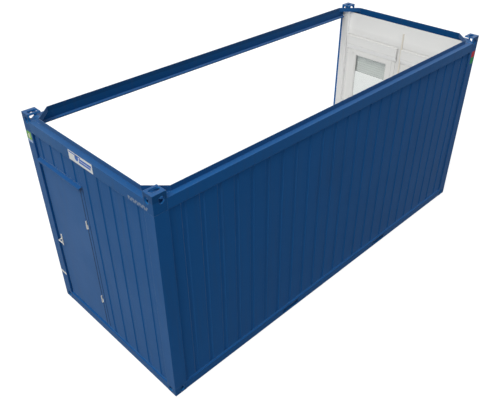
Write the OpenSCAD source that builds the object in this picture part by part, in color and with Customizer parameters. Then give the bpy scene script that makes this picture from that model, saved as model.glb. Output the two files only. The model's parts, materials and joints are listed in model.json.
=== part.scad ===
// Office container: a steel frame with corner castings, sandwich walls on three sides,
// one long side left open and the roof panel left off.
// Millimetres, +Z up. The origin is on the ground under the middle of the container.
// X runs from the door end to the window end, and Y from the closed side to the open side.

/* [Overall size] */
// Length over the corners
length = 6055; // [5600:5:7000]
// Width over the corners
width = 2435; // [2400:5:2600]
// Height to the top of the corner castings
height = 2820; // [2600:5:3000]

/* [Corners] */
// Corner post along the long side, with its inner cover
post_len = 170; // [150:1:200]
// Corner post along the end, with its inner cover
post_wid = 150; // [130:1:170]
// Steel of the corner posts
post_t = 4; // [3:1:6]
// Corner casting along the long side
casting_len = 162; // [150:1:178]
// Width of a corner casting, across the container
casting_wid = 142; // [130:1:162]
// Thickness of a casting's outer walls
casting_t = 20; // [12:1:30]
// Thickness of a casting's plate with the lock slot
slot_plate_t = 18; // [12:1:28]
// Thickness of a casting's inner walls
inner_wall_t = 8; // [6:1:14]
// Height of a top casting
top_casting_high = 138; // [118:1:150]
// Where the plate inside a top casting meets its end wall, from the container's side
plate_cut_end = 115; // [90:1:130]
// Where the plate inside a top casting meets its side wall, from the container's end
plate_cut_side = 124; // [100:1:150]
// Distance of a lock slot's middle from the container's end
lock_off_end = 90; // [80:0.5:103]
// Distance of a lock slot's middle from the container's side
lock_off_side = 82; // [70:0.5:92]
// Length of a casting's lock slot
lock_hole_len = 124; // [110:1:128]
// Width of a casting's lock slot
lock_hole_wid = 60; // [55:1:70]
// Distance of a side hole's middle from the container's end
side_hole_off = 101.5; // [90:0.5:103]
// Distance of an end hole's middle from the container's side
end_hole_off = 92; // [75:0.5:95]
// Width of a casting's hole in the long side
side_hole_wid = 62; // [50:1:66]
// Width of a casting's hole in the end
end_hole_wid = 62; // [45:1:66]
// Height of a casting's side holes
side_hole_high = 81; // [70:1:85]
// How far the middle of a top casting's side holes lies below its top
side_hole_drop = 79; // [55:1:85]
// How far the castings stand above the roof frame's flange
casting_stand = 86; // [70:1:95]

/* [Roof frame] */
// Height of the roof frame's outer web
roof_web = 131; // [110:1:150]
// Width of the roof frame's top flange at the closed side and the door end
roof_flange = 68; // [50:1:72]
// Width of the top flange at the open side and the window end
far_flange = 38; // [30:1:72]
// Height of the upstand behind the flange
roof_upstand = 60; // [40:1:70]
// Drop from the top of the upstand to the ceiling ledge
ledge_drop = 147; // [130:1:160]
// Lip under the ceiling ledge
ledge_lip = 16; // [8:1:25]
// Distance from the window end at which the ledge along the open side stops
ledge_stop = 205; // [170:5:230]
// Steel of the roof frame
roof_t = 4; // [3:1:5]
// Distance from a corner at which the upstand cuts across it
corner_cut = 334; // [325:1:380]

/* [Floor frame] */
// Height of the floor frame and of the bottom castings
base_high = 118; // [110:1:130]
// Gap between the ground and the rails of the floor frame
base_lift = 5; // [0:1:10]
// Width of the floor rails' top flange
base_flange = 130; // [120:1:160]
// Width of the floor rails' bottom flange
base_foot = 45; // [30:1:60]
// Steel of the floor frame
base_t = 4; // [3:1:6]
// Thickness of the floor boards
floor_t = 24; // [18:1:30]
// Distance between the centres of the fork pockets
pocket_pitch = 2050; // [1900:5:2100]
// Width of a fork pocket
pocket_wid = 300; // [250:1:352]
// Height of a fork pocket
pocket_high = 70; // [60:1:80]
// Height of the fork pockets above the ground
pocket_lift = 18; // [12:1:24]
// Steel of the fork pockets
pocket_t = 4; // [3:1:6]
// Width of a floor joist
joist_wid = 60; // [40:1:80]
// Largest distance between floor joists
joist_pitch = 520; // [450:10:650]

/* [Walls] */
// How far the wall panels lie behind the face of the frame
recess = 26; // [15:1:35]
// Thickness of the wall panels
panel_t = 66; // [50:1:80]
// Thickness of the white lining boards
lining_t = 10; // [8:1:14]
// Thickness of the boards that cover the posts inside
cover_t = 8; // [6:1:10]
// Gap between the top of a lining board and the top of the roof upstand
lining_down = 84; // [70:1:100]
// Strip of the post's steel left bare at the open side
bare_strip = 27; // [15:1:40]
// Depth of the grooves in the panels
groove_deep = 11; // [6:1:16]
// Width of a groove at the panel's face
groove_wid = 66; // [50:1:80]
// Distance between grooves in the closed side
groove_pitch = 232; // [180:1:260]
// Distance between grooves in the ends
end_groove_pitch = 236; // [180:1:260]
// Least plain width of panel outside the last groove
groove_edge = 80; // [70:1:90]

/* [Door] */
// Width of the door leaf
leaf_wid = 855; // [800:5:900]
// Height of the door leaf
leaf_high = 2110; // [1900:5:2140]
// Thickness of the door leaf
leaf_t = 40; // [30:1:50]
// Gap all round the door leaf
leaf_gap = 7; // [6:1:10]
// Width of the frame's face on the hinge side
jamb_face = 48; // [40:1:60]
// How far the frame's stop reaches behind the leaf
stop_wid = 36; // [25:1:50]
// Radius of the hinge knuckles
knuckle_r = 9; // [7:0.5:11]
// Radius of the hinge pins
hinge_pin_r = 5; // [4:0.5:6]
// Height of a hinge
hinge_high = 115; // [90:1:140]
// Height of the lower hinge's middle above the ground
hinge_low = 585; // [400:5:700]
// Height of the upper hinge's middle above the ground
hinge_up = 1745; // [1600:5:1850]
// Height of the lever's spindle above the ground
lever_height = 1100; // [1000:5:1250]
// Distance from the leaf's free edge to the spindle
backset = 62; // [50:1:80]
// Height of the handle plates
plate_high = 184; // [160:1:220]
// Width of the handle plates
plate_wid = 34; // [28:1:42]
// Thickness of the handle plates
plate_t = 7; // [4:0.5:9]
// Radius of the lever's spindle
spindle_r = 5; // [4:0.5:6]
// Length of the lever
lever_len = 112; // [90:1:130]
// How far the lever stands off the leaf
lever_out = 46; // [40:1:55]
// Radius of the lever's bar
lever_r = 8; // [6:0.5:10]
// How far the drip canopy stands out from the panel
canopy_out = 44; // [35:1:60]
// Slope of the drip canopy over its depth
canopy_fall = 6; // [2:1:12]

/* [Windows] */
// How much narrower a window frame is than its shutter box at each side
window_inset = 22; // [10:1:40]
// Height of a window frame
window_high = 1150; // [900:5:1300]
// Distance from the container's top down to the top of the window frames
window_down = 648; // [600:2:760]
// Width of the fixed frame's white section
frame_bar = 63; // [45:1:70]
// Width of the sash's white section
sash_bar = 101; // [70:1:110]
// Thickness of the window frames
window_t = 68; // [60:1:72]
// How far a window frame stands into the room
window_proud = 8; // [2:1:12]
// Thickness of the opening sash
sash_t = 56; // [48:1:58]
// How far a sash stands into the room
sash_out = 14; // [8:1:20]
// Distance of each shutter box from the container's middle
box_mid_gap = 42; // [38:1:60]
// Gap between a shutter box and the post beside it
box_post_gap = 5.5; // [5:0.5:20]
// Height of a shutter box
box_high = 157; // [130:1:190]
// How far a shutter box stands into the room
box_out = 48; // [30:1:60]
// Length of shutter curtain let down below the box
curtain_down = 490; // [200:1:900]
// Thickness of the shutter curtain
curtain_t = 9; // [7:1:10]
// Width of the guides that hold the edges of the shutter curtain
guide_wid = 32; // [20:1:45]
// Thickness of the glass unit
glass_t = 20; // [16:1:24]

/* [Small parts] */
// Width of the name plate on the roof frame
name_wid = 455; // [300:5:600]
// Height of the name plate
name_high = 114; // [80:1:120]
// Distance of the name plate's middle from the container's middle
name_off = 12; // [0:1:200]
// Height of the strap on the door-end post
strap_height = 435; // [300:5:800]
// Width of the cable duct between the windows
duct_wid = 24; // [15:1:30]
// Distance of the duct's middle from the container's middle
duct_off = 21; // [0:1:25]
// Distance from the top of the end's lining to the top of the duct
duct_down = 133; // [20:1:300]

/* [Hidden] */
$fn = 48;

frame_blue = [0.13, 0.29, 0.47];
wall_blue = [0.18, 0.33, 0.50];
lining_white = [0.86, 0.86, 0.86];
floor_grey = [0.55, 0.55, 0.53];
handle_grey = [0.80, 0.78, 0.74];
shutter_grey = [0.66, 0.69, 0.67];
glass_tint = [0.75, 0.85, 0.88];

// Clearance between pieces that are seated on each other
seat = 0.3;
// Clearance of a turning pin in its bore
running = 0.05;
// Gap between a hinge knuckle and the leaf's face
hinge_proud = 1;
// Extra length that lets a cut run through a face
over = 1;

half_len = length / 2;
half_wid = width / 2;
wall_in = recess + panel_t + lining_t;      // outer face of the frame to the lining's face
panel_in = recess + panel_t;                // outer face of the frame to the lining's back
flange_z = height - casting_stand;          // top of the roof frame's flange
casting_z = height - top_casting_high;      // bottom of the top castings
web_z = flange_z - roof_web;                // bottom of the roof frame's web
upstand_z = flange_z + roof_upstand;        // top of the upstand
ledge_z = upstand_z - ledge_drop;           // top of the ceiling ledge
lip_z = ledge_z - ledge_lip;                // bottom of the lip
floor_z = base_high + floor_t;              // walking surface
panel_top = lip_z - seat;
lining_top = upstand_z - lining_down;
cover_top = flange_z - roof_t - seat;

// The door end's opening, along Y from the hinge side to the free side
leaf_free_y = half_wid - post_wid - leaf_gap;
leaf_hinge_y = leaf_free_y - leaf_wid;
jamb_y = leaf_hinge_y - leaf_gap - jamb_face;
leaf_bottom = base_high + leaf_gap;
leaf_top = leaf_bottom + leaf_high;
header_z = leaf_top + leaf_gap;
opening_top = header_z - stop_wid;
face_x = -half_len + recess;                // outer face of the panel at the door end
leaf_back_x = face_x + leaf_t;
stop_x = leaf_back_x + leaf_gap;
wall_in_x = -half_len + wall_in;
hinge_x = face_x - knuckle_r - hinge_proud;
hinge_y = leaf_hinge_y - leaf_gap / 2;
lever_y = leaf_free_y - backset;
window_top = height - window_down;
window_bottom = window_top - window_high;
box_wid = half_wid - post_wid - box_mid_gap - box_post_gap;
window_wid = box_wid - 2 * window_inset;
window_off = box_mid_gap + box_wid / 2;
window_in = wall_in + window_proud - window_t; // face of the end to the window frame's back
sash_in = wall_in + sash_out - sash_t;      // face of the end to the sash's back
sash_wid = window_wid - 2 * frame_bar;
sash_high = window_high - 2 * frame_bar;
pane_wid = sash_wid - 2 * sash_bar;
pane_high = sash_high - 2 * sash_bar;

// ---- Shared shapes -------------------------------------------------------------------

// Mirrors its children into each of the four corners
module at_corners() {
    for (end = [-1, 1], side = [-1, 1])
        translate([end * half_len, side * half_wid, 0])
            turn_in(-end, -side) children();
}

// Mirrors a piece that is drawn in depths from a corner so that it looks inward
module turn_in(x_way, y_way) {
    mirror([x_way < 0 ? 1 : 0, 0, 0]) mirror([0, y_way < 0 ? 1 : 0, 0]) children();
}

// Slot with round ends, drawn about its middle
module slot_shape(long, wide) {
    square([long - wide, wide], center = true);
    for (end = [-1, 1]) translate([end * (long - wide) / 2, 0]) circle(d = wide);
}

// Outline of a grooved panel of the given width, with its back on the X axis
function groove_points(centre, depth) = [
    [centre - groove_wid / 2, depth],
    [centre - groove_wid / 2 + groove_deep, depth - groove_deep],
    [centre + groove_wid / 2 - groove_deep, depth - groove_deep],
    [centre + groove_wid / 2, depth]
];

module panel_shape(wide, centres) {
    cuts = [for (centre = centres) each groove_points(centre, panel_t)];
    polygon(concat([[-wide / 2, 0], [-wide / 2, panel_t]], cuts,
                   [[wide / 2, panel_t], [wide / 2, 0]]));
}

// Centres of as many grooves as a wall of the given width holds, about its middle
function row_of(wide, pitch) =
    let (last = floor((wide - groove_wid - 2 * groove_edge) / pitch))
    [for (i = [0 : last]) (i - last / 2) * pitch];

// Keeps the grooves of a row that lie well inside a panel
function inside(centres, low, high) =
    [for (c = centres) if (c - groove_wid / 2 > low + over && c + groove_wid / 2 < high - over) c];

// ---- Floor frame ---------------------------------------------------------------------

// Casting with its lock slot up: thick outside, thin towards the rails
module casting(high, hole_z) {
    difference() {
        cube([casting_len, casting_wid, high]);
        translate([casting_t, casting_t, inner_wall_t])
            cube([casting_len - casting_t - inner_wall_t, casting_wid - casting_t - inner_wall_t,
                  high - slot_plate_t - inner_wall_t]);
        translate([lock_off_end, lock_off_side, high - slot_plate_t - over])
            linear_extrude(slot_plate_t + 2 * over) slot_shape(lock_hole_len, lock_hole_wid);
        translate([side_hole_off, -over, hole_z])
            rotate([-90, 0, 0]) linear_extrude(casting_t + 2 * over)
                rotate(90) slot_shape(side_hole_high, side_hole_wid);
        translate([-over, end_hole_off, hole_z])
            rotate([0, 90, 0]) linear_extrude(casting_t + 2 * over)
                slot_shape(side_hole_high, end_hole_wid);
    }
}

// Above the rails a top casting is open on its two inner sides
module inner_windows(high) {
    sill = flange_z - casting_z;
    clear_high = high - slot_plate_t - sill;
    translate([casting_t, casting_t, sill])
        cube([casting_len, casting_wid, clear_high]);
}

// Plate inside a top casting, level with the rails and cut off across the outer corner
module inner_plate() {
    far = [casting_len - inner_wall_t + over, casting_wid - inner_wall_t + over];
    near = casting_t - over;
    translate([0, 0, flange_z - roof_t]) linear_extrude(roof_t) polygon([
        [near, plate_cut_end], [near, far.y], [far.x, far.y], [far.x, near], [plate_cut_side, near]
    ]);
}

module base_castings() {
    color(frame_blue) at_corners()
        translate([0, 0, base_high]) mirror([0, 0, 1])
            casting(base_high, base_high / 2);
}

// Section of a floor rail: web at the left, flange on top, foot below
module base_section() {
    translate([0, base_lift]) square([base_t, base_high - base_lift]);
    translate([0, base_high - base_t]) square([base_flange, base_t]);
    translate([0, base_lift]) square([base_foot, base_t]);
}

// A rail along X with its web facing -Y, centred on X = 0
module base_rail(long) {
    rotate([90, 0, 90]) translate([0, 0, -long / 2]) linear_extrude(long) base_section();
}

module pocket_cuts(wide, high, low) {
    for (way = [-1, 1])
        translate([way * pocket_pitch / 2 - wide / 2, -over, low])
            cube([wide, base_foot + 2 * over, high]);
}

module long_base_rail() {
    difference() {
        translate([0, -half_wid, 0]) base_rail(length - 2 * casting_len);
        translate([0, -half_wid, 0])
            pocket_cuts(pocket_wid + 2 * pocket_t + 2 * seat, pocket_high + 2 * pocket_t + 2 * seat,
                        pocket_lift - pocket_t - seat);
    }
}

module base_rail_closed_side() {
    color(frame_blue) long_base_rail();
}

module base_rail_open_side() {
    color(frame_blue) mirror([0, 1, 0]) long_base_rail();
}

module end_base_rail() {
    rotate(-90) translate([0, -half_len, 0]) base_rail(width - 2 * casting_wid);
}

module base_rail_door_end() {
    color(frame_blue) end_base_rail();
}

module base_rail_window_end() {
    color(frame_blue) mirror([1, 0, 0]) end_base_rail();
}

module fork_pockets() {
    color(frame_blue) for (way = [-1, 1])
        translate([way * pocket_pitch / 2, half_wid, pocket_lift + pocket_high / 2])
            rotate([90, 0, 0]) linear_extrude(width) difference() {
                square([pocket_wid + 2 * pocket_t, pocket_high + 2 * pocket_t], center = true);
                square([pocket_wid, pocket_high], center = true);
            }
}

// Joists run across the floor, clear of the fork pockets
joist_pocket_gap = 40;
joist_end_gap = 60;
joist_clear = pocket_wid / 2 + pocket_t + joist_pocket_gap + joist_wid / 2;
first_outer = pocket_pitch / 2 + joist_clear;
last_outer = half_len - base_flange - joist_wid / 2 - joist_end_gap;
outer_bays = ceil((last_outer - first_outer) / joist_pitch);
middle_end = pocket_pitch / 2 - joist_clear;
middle_bays = ceil(2 * middle_end / joist_pitch);

module joist(x) {
    translate([x, 0, 0]) rotate([90, 0, 0])
        translate([0, 0, -half_wid + base_flange + seat])
            linear_extrude(width - 2 * (base_flange + seat)) difference() {
                translate([-joist_wid / 2, base_lift]) square([joist_wid, base_high - base_lift]);
                translate([-joist_wid / 2 + base_t, base_lift + base_t])
                    square([joist_wid, base_high - base_lift - 2 * base_t]);
            }
}

module floor_joists_middle() {
    color(frame_blue) for (i = [0 : middle_bays])
        joist(-middle_end + i * 2 * middle_end / middle_bays);
}

module outer_joists(way) {
    for (i = [0 : outer_bays])
        joist(way * (first_outer + i * (last_outer - first_outer) / outer_bays));
}

module floor_joists_door_end() {
    color(frame_blue) outer_joists(-1);
}

module floor_joists_window_end() {
    color(frame_blue) outer_joists(1);
}

// Floor boards, cut back round the post covers at the open side
module floor_boards() {
    color(floor_grey) translate([0, 0, base_high]) linear_extrude(floor_t) difference() {
        translate([-half_len + wall_in, -half_wid + wall_in])
            square([length - 2 * wall_in, width - wall_in - recess]);
        for (way = [-1, 1], side = [-1, 1])
            translate([way * half_len, side * half_wid])
                square([2 * (post_len + seat), 2 * (post_wid + seat)], center = true);
    }
}

// ---- Corner posts --------------------------------------------------------------------

// Section of a post in depths from the corner: closed steel tube with rebates for the cover
module post_section(strip) {
    difference() {
        polygon([
            [0, 0], [post_len, 0], [post_len, strip],
            [post_len - cover_t, strip], [post_len - cover_t, post_wid - cover_t],
            [wall_in, post_wid - cover_t], [wall_in, post_wid], [0, post_wid]
        ]);
        translate([post_t, post_t])
            square([post_len - cover_t - 2 * post_t, post_wid - cover_t - 2 * post_t]);
    }
}

module post(end, side) {
    translate([end * half_len, side * half_wid, base_high])
        turn_in(-end, -side) linear_extrude(web_z - base_high)
            post_section(side > 0 ? bare_strip : wall_in);
}

module post_door_closed() {
    color(frame_blue) post(-1, -1);
}

module post_door_open() {
    color(frame_blue) post(-1, 1);
}

module post_window_closed() {
    color(frame_blue) post(1, -1);
}

module post_window_open() {
    color(frame_blue) post(1, 1);
}

// White boards round the inner edge of each post
module cover_section(strip) {
    translate([post_len - cover_t + seat, strip + seat])
        square([cover_t - seat, post_wid - strip - seat]);
    translate([wall_in + seat, post_wid - cover_t + seat])
        square([post_len - wall_in - seat, cover_t - seat]);
}

module post_covers() {
    color(lining_white) for (end = [-1, 1], side = [-1, 1])
        translate([end * half_len, side * half_wid, base_high + seat]) turn_in(-end, -side)
            linear_extrude((end > 0 ? cover_top : web_z - seat) - base_high - seat)
                cover_section(side > 0 ? bare_strip : wall_in);
}

// ---- Roof frame ----------------------------------------------------------------------

module top_castings() {
    color(frame_blue) at_corners() {
        translate([0, 0, casting_z]) difference() {
            casting(top_casting_high, top_casting_high - side_hole_drop);
            inner_windows(top_casting_high);
        }
        inner_plate();
        translate([0, 0, web_z]) linear_extrude(casting_z - web_z) difference() {
            square([casting_len, casting_wid]);
            translate([inner_wall_t, inner_wall_t])
                square([casting_len - 2 * inner_wall_t, casting_wid - 2 * inner_wall_t]);
        }
    }
}

// Section of a roof rail: web, flange, upstand, ceiling ledge and lip in one folded sheet
module roof_section(flange) {
    translate([0, web_z]) square([roof_t, roof_web]);
    translate([0, flange_z - roof_t]) square([flange, roof_t]);
    translate([flange, ledge_z - roof_t]) square([roof_t, ledge_drop + roof_t]);
    translate([flange, ledge_z - roof_t]) square([panel_in - flange, roof_t]);
    translate([panel_in - roof_t, lip_z]) square([roof_t, ledge_lip]);
}

// A rail along X with its web facing -Y. Its upstand stops where the corners are cut across,
// and what hangs below its flange stops at the posts, or further in at the far end.
module roof_rail(long, short_in, flange, post_in, far_in) {
    corner = corner_cut + 2 * seat;
    difference() {
        rotate([90, 0, 90]) translate([0, 0, -long / 2]) linear_extrude(long) roof_section(flange);
        for (way = [-1, 1]) translate([way * (long / 2 + short_in), 0, 0]) turn_in(-way, 1) {
            translate([0, 0, flange_z - roof_t - seat]) linear_extrude(height) polygon([
                [0, flange], [corner - flange, flange],
                [corner - panel_in - over, panel_in + over], [0, panel_in + over]
            ]);
            translate([0, flange, 0])
                cube([(way > 0 ? far_in : post_in) + 2 * seat, panel_in, flange_z + over]);
        }
    }
}

module side_roof_rail(flange, far_in) {
    translate([0, -half_wid, 0])
        roof_rail(length - 2 * casting_len, casting_len, flange, post_len, far_in);
}

module roof_rail_closed_side() {
    color(frame_blue) side_roof_rail(roof_flange, post_len);
}

module roof_rail_open_side() {
    color(frame_blue) mirror([0, 1, 0]) side_roof_rail(far_flange, ledge_stop);
}

module end_roof_rail(flange) {
    rotate(-90) translate([0, -half_len, 0])
        roof_rail(width - 2 * casting_wid, casting_wid, flange, post_wid, post_wid);
}

module roof_rail_door_end() {
    color(frame_blue) end_roof_rail(roof_flange);
}

module roof_rail_window_end() {
    color(frame_blue) mirror([1, 0, 0]) end_roof_rail(far_flange);
}

// Plate behind a top casting, with the upstand that cuts across the corner. It starts at the
// inner edges of the flanges: near_x in from the end and near_y in from the side.
module corner_plate(near_x, near_y) {
    back = corner_cut - sqrt(2) * roof_t;
    translate([0, 0, flange_z - roof_t]) linear_extrude(roof_t) polygon([
        [casting_len + seat, near_y], [corner_cut - near_y, near_y], [near_x, corner_cut - near_x],
        [near_x, casting_wid + seat], [casting_len + seat, casting_wid + seat]
    ]);
    translate([0, 0, flange_z]) linear_extrude(roof_upstand) polygon([
        [corner_cut - near_y, near_y], [near_x, corner_cut - near_x],
        [near_x, back - near_x], [back - near_y, near_y]
    ]);
}

module roof_corner_plates() {
    color(frame_blue) for (end = [-1, 1], side = [-1, 1])
        translate([end * half_len, side * half_wid, 0]) turn_in(-end, -side)
            corner_plate((end > 0 ? far_flange : roof_flange) + seat,
                         (side > 0 ? far_flange : roof_flange) + seat);
}

// ---- Walls ---------------------------------------------------------------------------

// Stands a panel outline up as a wall whose grooved face looks to -Y
module stand_panel(wide, centres, low, high) {
    translate([0, panel_in, low]) linear_extrude(high - low)
        mirror([0, 1]) panel_shape(wide, centres);
}

module panel_closed_side() {
    wide = length - 2 * post_len - 2 * seat;
    color(wall_blue) translate([0, -half_wid, 0])
        stand_panel(wide, row_of(wide, groove_pitch), base_high, panel_top);
}

module lining_closed_side() {
    color(lining_white)
        translate([-half_len + post_len, -half_wid + panel_in + seat, base_high])
            cube([length - 2 * post_len, lining_t - seat, lining_top - base_high]);
}

// The end walls are drawn along X and turned to face the door end
module at_door_end() {
    translate([-half_len, 0, 0]) rotate(-90) children();
}

// Grooves of the ends, counted along the end wall before it is turned
end_low = -half_wid + post_wid;
end_high = half_wid - post_wid;
end_grooves = row_of(end_high - end_low, end_groove_pitch);

// Panel between two places along the end wall, given as Y
module end_panel(low_y, high_y, low_z, high_z) {
    middle = (low_y + high_y) / 2;
    kept = inside(end_grooves, low_y, high_y);
    last = len(kept) - 1;
    at_door_end() translate([-middle, 0, 0])
        stand_panel(high_y - low_y - 2 * seat, [for (i = [last : -1 : 0]) middle - kept[i]],
                    low_z, high_z);
}

module end_lining(low_y, high_y, low_z, high_z) {
    translate([-half_len + panel_in + seat, low_y, low_z])
        cube([lining_t - seat, high_y - low_y, high_z - low_z]);
}

module panel_beside_door() {
    color(wall_blue) end_panel(end_low, jamb_y, base_high, panel_top);
}

module lining_beside_door() {
    color(lining_white) end_lining(end_low, jamb_y, base_high, lining_top);
}

module panel_over_door() {
    color(wall_blue) end_panel(jamb_y, end_high, header_z + jamb_face + seat, panel_top);
}

module lining_over_door() {
    color(lining_white)
        end_lining(jamb_y + seat, end_high, header_z + jamb_face + seat, lining_top);
}

// Holes for both windows and the shutter boxes over them, grown by a clearance
module window_holes(grow, low, high) {
    for (way = [-1, 1]) translate([way * window_off, low, 0]) {
        translate([-window_wid / 2 - grow, 0, window_bottom - grow])
            cube([window_wid + 2 * grow, high - low, window_high + 2 * grow]);
        translate([-box_wid / 2 - grow, 0, window_top])
            cube([box_wid + 2 * grow, high - low, box_high + grow]);
    }
}

module at_window_end() {
    mirror([1, 0, 0]) at_door_end() children();
}

module panel_window_end() {
    color(wall_blue) at_window_end() difference() {
        stand_panel(end_high - end_low - 2 * seat, end_grooves, base_high, panel_top);
        window_holes(seat, recess - over, panel_in + over);
    }
}

module lining_window_end() {
    color(lining_white) at_window_end() difference() {
        translate([end_low, panel_in + seat, base_high])
            cube([end_high - end_low, lining_t - seat, lining_top - base_high]);
        window_holes(seat, panel_in - over, wall_in + over);
    }
}

// ---- Windows -------------------------------------------------------------------------

// Puts a shape drawn about a window's middle into both window openings
module at_windows(depth) {
    at_window_end() for (way = [-1, 1])
        translate([way * window_off, depth, window_bottom + window_high / 2])
            rotate([-90, 0, 0]) children();
}

module ring(long, wide, bar) {
    difference() {
        square([long, wide], center = true);
        square([long - 2 * bar, wide - 2 * bar], center = true);
    }
}

// Depth of the shutter curtain and its guides behind the panel's face
curtain_in = 1;

// Fixed frame with the shutter's guides outside it, and the sash that stands into the room
module window_frames() {
    color(lining_white) {
        at_windows(window_in) linear_extrude(window_t) ring(window_wid, window_high, frame_bar);
        at_windows(sash_in) linear_extrude(sash_t) ring(sash_wid, sash_high, sash_bar);
        at_windows(recess + curtain_in) for (way = [-1, 1])
            translate([way * (window_wid - guide_wid) / 2, 0])
                linear_extrude(window_in - recess) square([guide_wid, window_high], center = true);
    }
}

module window_glass() {
    color(glass_tint, 0.4) at_windows(sash_in + (sash_t - glass_t) / 2) linear_extrude(glass_t)
        square([pane_wid - 2 * seat, pane_high - 2 * seat], center = true);
}

module shutter_boxes() {
    color(lining_white) at_window_end() for (way = [-1, 1])
        translate([way * window_off - box_wid / 2, recess, window_top + seat])
            cube([box_wid, wall_in + box_out - recess, box_high - seat]);
}

module shutter_curtains() {
    curtain_wid = window_wid - 2 * (guide_wid + seat);
    color(shutter_grey) at_window_end() for (way = [-1, 1])
        translate([way * window_off - curtain_wid / 2, recess + curtain_in,
                   window_top - curtain_down])
            cube([curtain_wid, curtain_t, curtain_down]);
}

duct_t = 12;
module cable_duct() {
    color(lining_white) at_window_end()
        translate([duct_off - duct_wid / 2, wall_in + seat, floor_z + seat])
            cube([duct_wid, duct_t, lining_top - duct_down - floor_z]);
}

// ---- Door ----------------------------------------------------------------------------

// Frame round the opening: a face beside the leaf and a stop behind it
module door_frame() {
    back_x = wall_in_x;
    color(frame_blue) difference() {
        translate([face_x, jamb_y + seat, base_high])
            cube([back_x - face_x, end_high - jamb_y - 2 * seat, header_z + jamb_face - base_high]);
        translate([face_x - over, leaf_hinge_y - leaf_gap, base_high - over])
            cube([stop_x - face_x + over, half_wid, header_z - base_high + over]);
        translate([face_x - over, leaf_hinge_y - leaf_gap + stop_wid, floor_z])
            cube([wall_in, leaf_wid + 2 * leaf_gap - 2 * stop_wid, opening_top - floor_z]);
    }
}

// Leaf with the bore for the lever's spindle
module door_leaf() {
    color(wall_blue) difference() {
        translate([face_x, leaf_hinge_y, leaf_bottom]) cube([leaf_t, leaf_wid, leaf_high]);
        translate([face_x - over, lever_y, lever_height])
            rotate([0, 90, 0]) cylinder(r = spindle_r + 2, h = leaf_t + 2 * over);
    }
}

// One knuckle of a hinge about the door's axis, bored for the pin
module knuckle(low, high, bore) {
    translate([hinge_x, hinge_y, low]) difference() {
        cylinder(r = knuckle_r, h = high - low);
        if (bore) translate([0, 0, -over])
            cylinder(r = hinge_pin_r + running, h = high - low + 2 * over);
    }
}

// Flat wing of a hinge, from behind its knuckle out over the frame or the leaf
wing_t = 3;
wing_reach = 35;
wing_start = 2;
module hinge_wing(way, low, high) {
    start = hinge_y + way * wing_start;
    translate([face_x - seat - wing_t, way > 0 ? start : start - wing_reach, low])
        cube([wing_t, wing_reach, high - low]);
}

// The lower knuckle belongs to the frame and carries the pin
module hinge_frame_halves() {
    color(handle_grey) for (middle = [hinge_low, hinge_up]) {
        knuckle(middle - hinge_high / 2, middle - seat, false);
        translate([hinge_x, hinge_y, middle - over])
            cylinder(r = hinge_pin_r, h = hinge_high / 2 - over);
        hinge_wing(-1, middle - hinge_high / 2, middle - seat);
    }
}

module hinge_leaf_halves() {
    color(handle_grey) for (middle = [hinge_low, hinge_up]) {
        knuckle(middle + seat, middle + hinge_high / 2, true);
        hinge_wing(1, middle + seat, middle + hinge_high / 2);
    }
}

// A plate on each face of the leaf, with most of its length below the spindle
plate_below = 0.62;
module handle_plates() {
    color(handle_grey) for (x = [face_x - plate_t, leaf_back_x]) difference() {
        translate([x, lever_y - plate_wid / 2, lever_height - plate_high * plate_below])
            cube([plate_t, plate_wid, plate_high]);
        translate([x - over, lever_y, lever_height])
            rotate([0, 90, 0]) cylinder(r = spindle_r + running, h = plate_t + 2 * over);
    }
}

// Spindle through the leaf with a lever at each end
module lever_handle() {
    color(handle_grey) {
        translate([face_x - lever_out, lever_y, lever_height])
            rotate([0, 90, 0]) cylinder(r = spindle_r, h = leaf_t + 2 * lever_out);
        for (x = [face_x - lever_out, leaf_back_x + lever_out])
            translate([x, lever_y + lever_r, lever_height])
                rotate([90, 0, 0]) cylinder(r = lever_r, h = lever_len + lever_r);
    }
}

// Folded sheet over the door
canopy_t = 3;
canopy_lip = 24;
canopy_back = 17;
module drip_canopy() {
    low_z = header_z + jamb_face / 2;
    color(frame_blue) translate([face_x - seat, end_high - seat, low_z]) rotate([90, 0, 0])
        linear_extrude(end_high - jamb_y - seat) polygon([
            [0, 0], [0, canopy_fall + canopy_back], [-canopy_t, canopy_fall + canopy_back],
            [-canopy_t, canopy_fall + canopy_t], [-canopy_out, canopy_t],
            [-canopy_out, -canopy_lip], [-canopy_out + canopy_t, -canopy_lip],
            [-canopy_out + canopy_t, 0], [-canopy_t, canopy_fall]
        ]);
}

// ---- Small parts ---------------------------------------------------------------------

name_t = 1.5;
module name_plate() {
    color("white") translate([-half_len - name_t - seat, name_off - name_wid / 2,
                              web_z + (roof_web - name_high) / 2])
        cube([name_t, name_wid, name_high]);
}

// Flat strap across the door-end post at the open side
strap_t = 4;
strap_wid = 34;
strap_inset = 9;
module post_strap() {
    color(handle_grey) translate([-half_len - strap_t - seat, end_high + strap_inset, strap_height])
        cube([strap_t, post_wid - 2 * strap_inset, strap_wid]);
}

base_castings();
base_rail_closed_side();
base_rail_open_side();
base_rail_door_end();
base_rail_window_end();
fork_pockets();
floor_joists_middle();
floor_joists_door_end();
floor_joists_window_end();
floor_boards();
post_door_closed();
post_door_open();
post_window_closed();
post_window_open();
post_covers();
top_castings();
roof_rail_closed_side();
roof_rail_open_side();
roof_rail_door_end();
roof_rail_window_end();
roof_corner_plates();
panel_closed_side();
lining_closed_side();
panel_beside_door();
lining_beside_door();
panel_over_door();
lining_over_door();
panel_window_end();
lining_window_end();
window_frames();
window_glass();
shutter_boxes();
shutter_curtains();
cable_duct();
door_frame();
door_leaf();
hinge_frame_halves();
hinge_leaf_halves();
handle_plates();
lever_handle();
drip_canopy();
name_plate();
post_strap();
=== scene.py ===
# %% [markdown]
# # An office container, step by step
# The steel frame, the grooved walls and the door come ready made from the construction model. This
# lesson dresses them: it gives every surface its paint, board, plastic or glass, and adds the
# small parts that a construction model leaves out. Lengths are in metres, X runs from the door end
# to the window end, Y from the closed long side to the open one, and Z is up.

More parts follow.
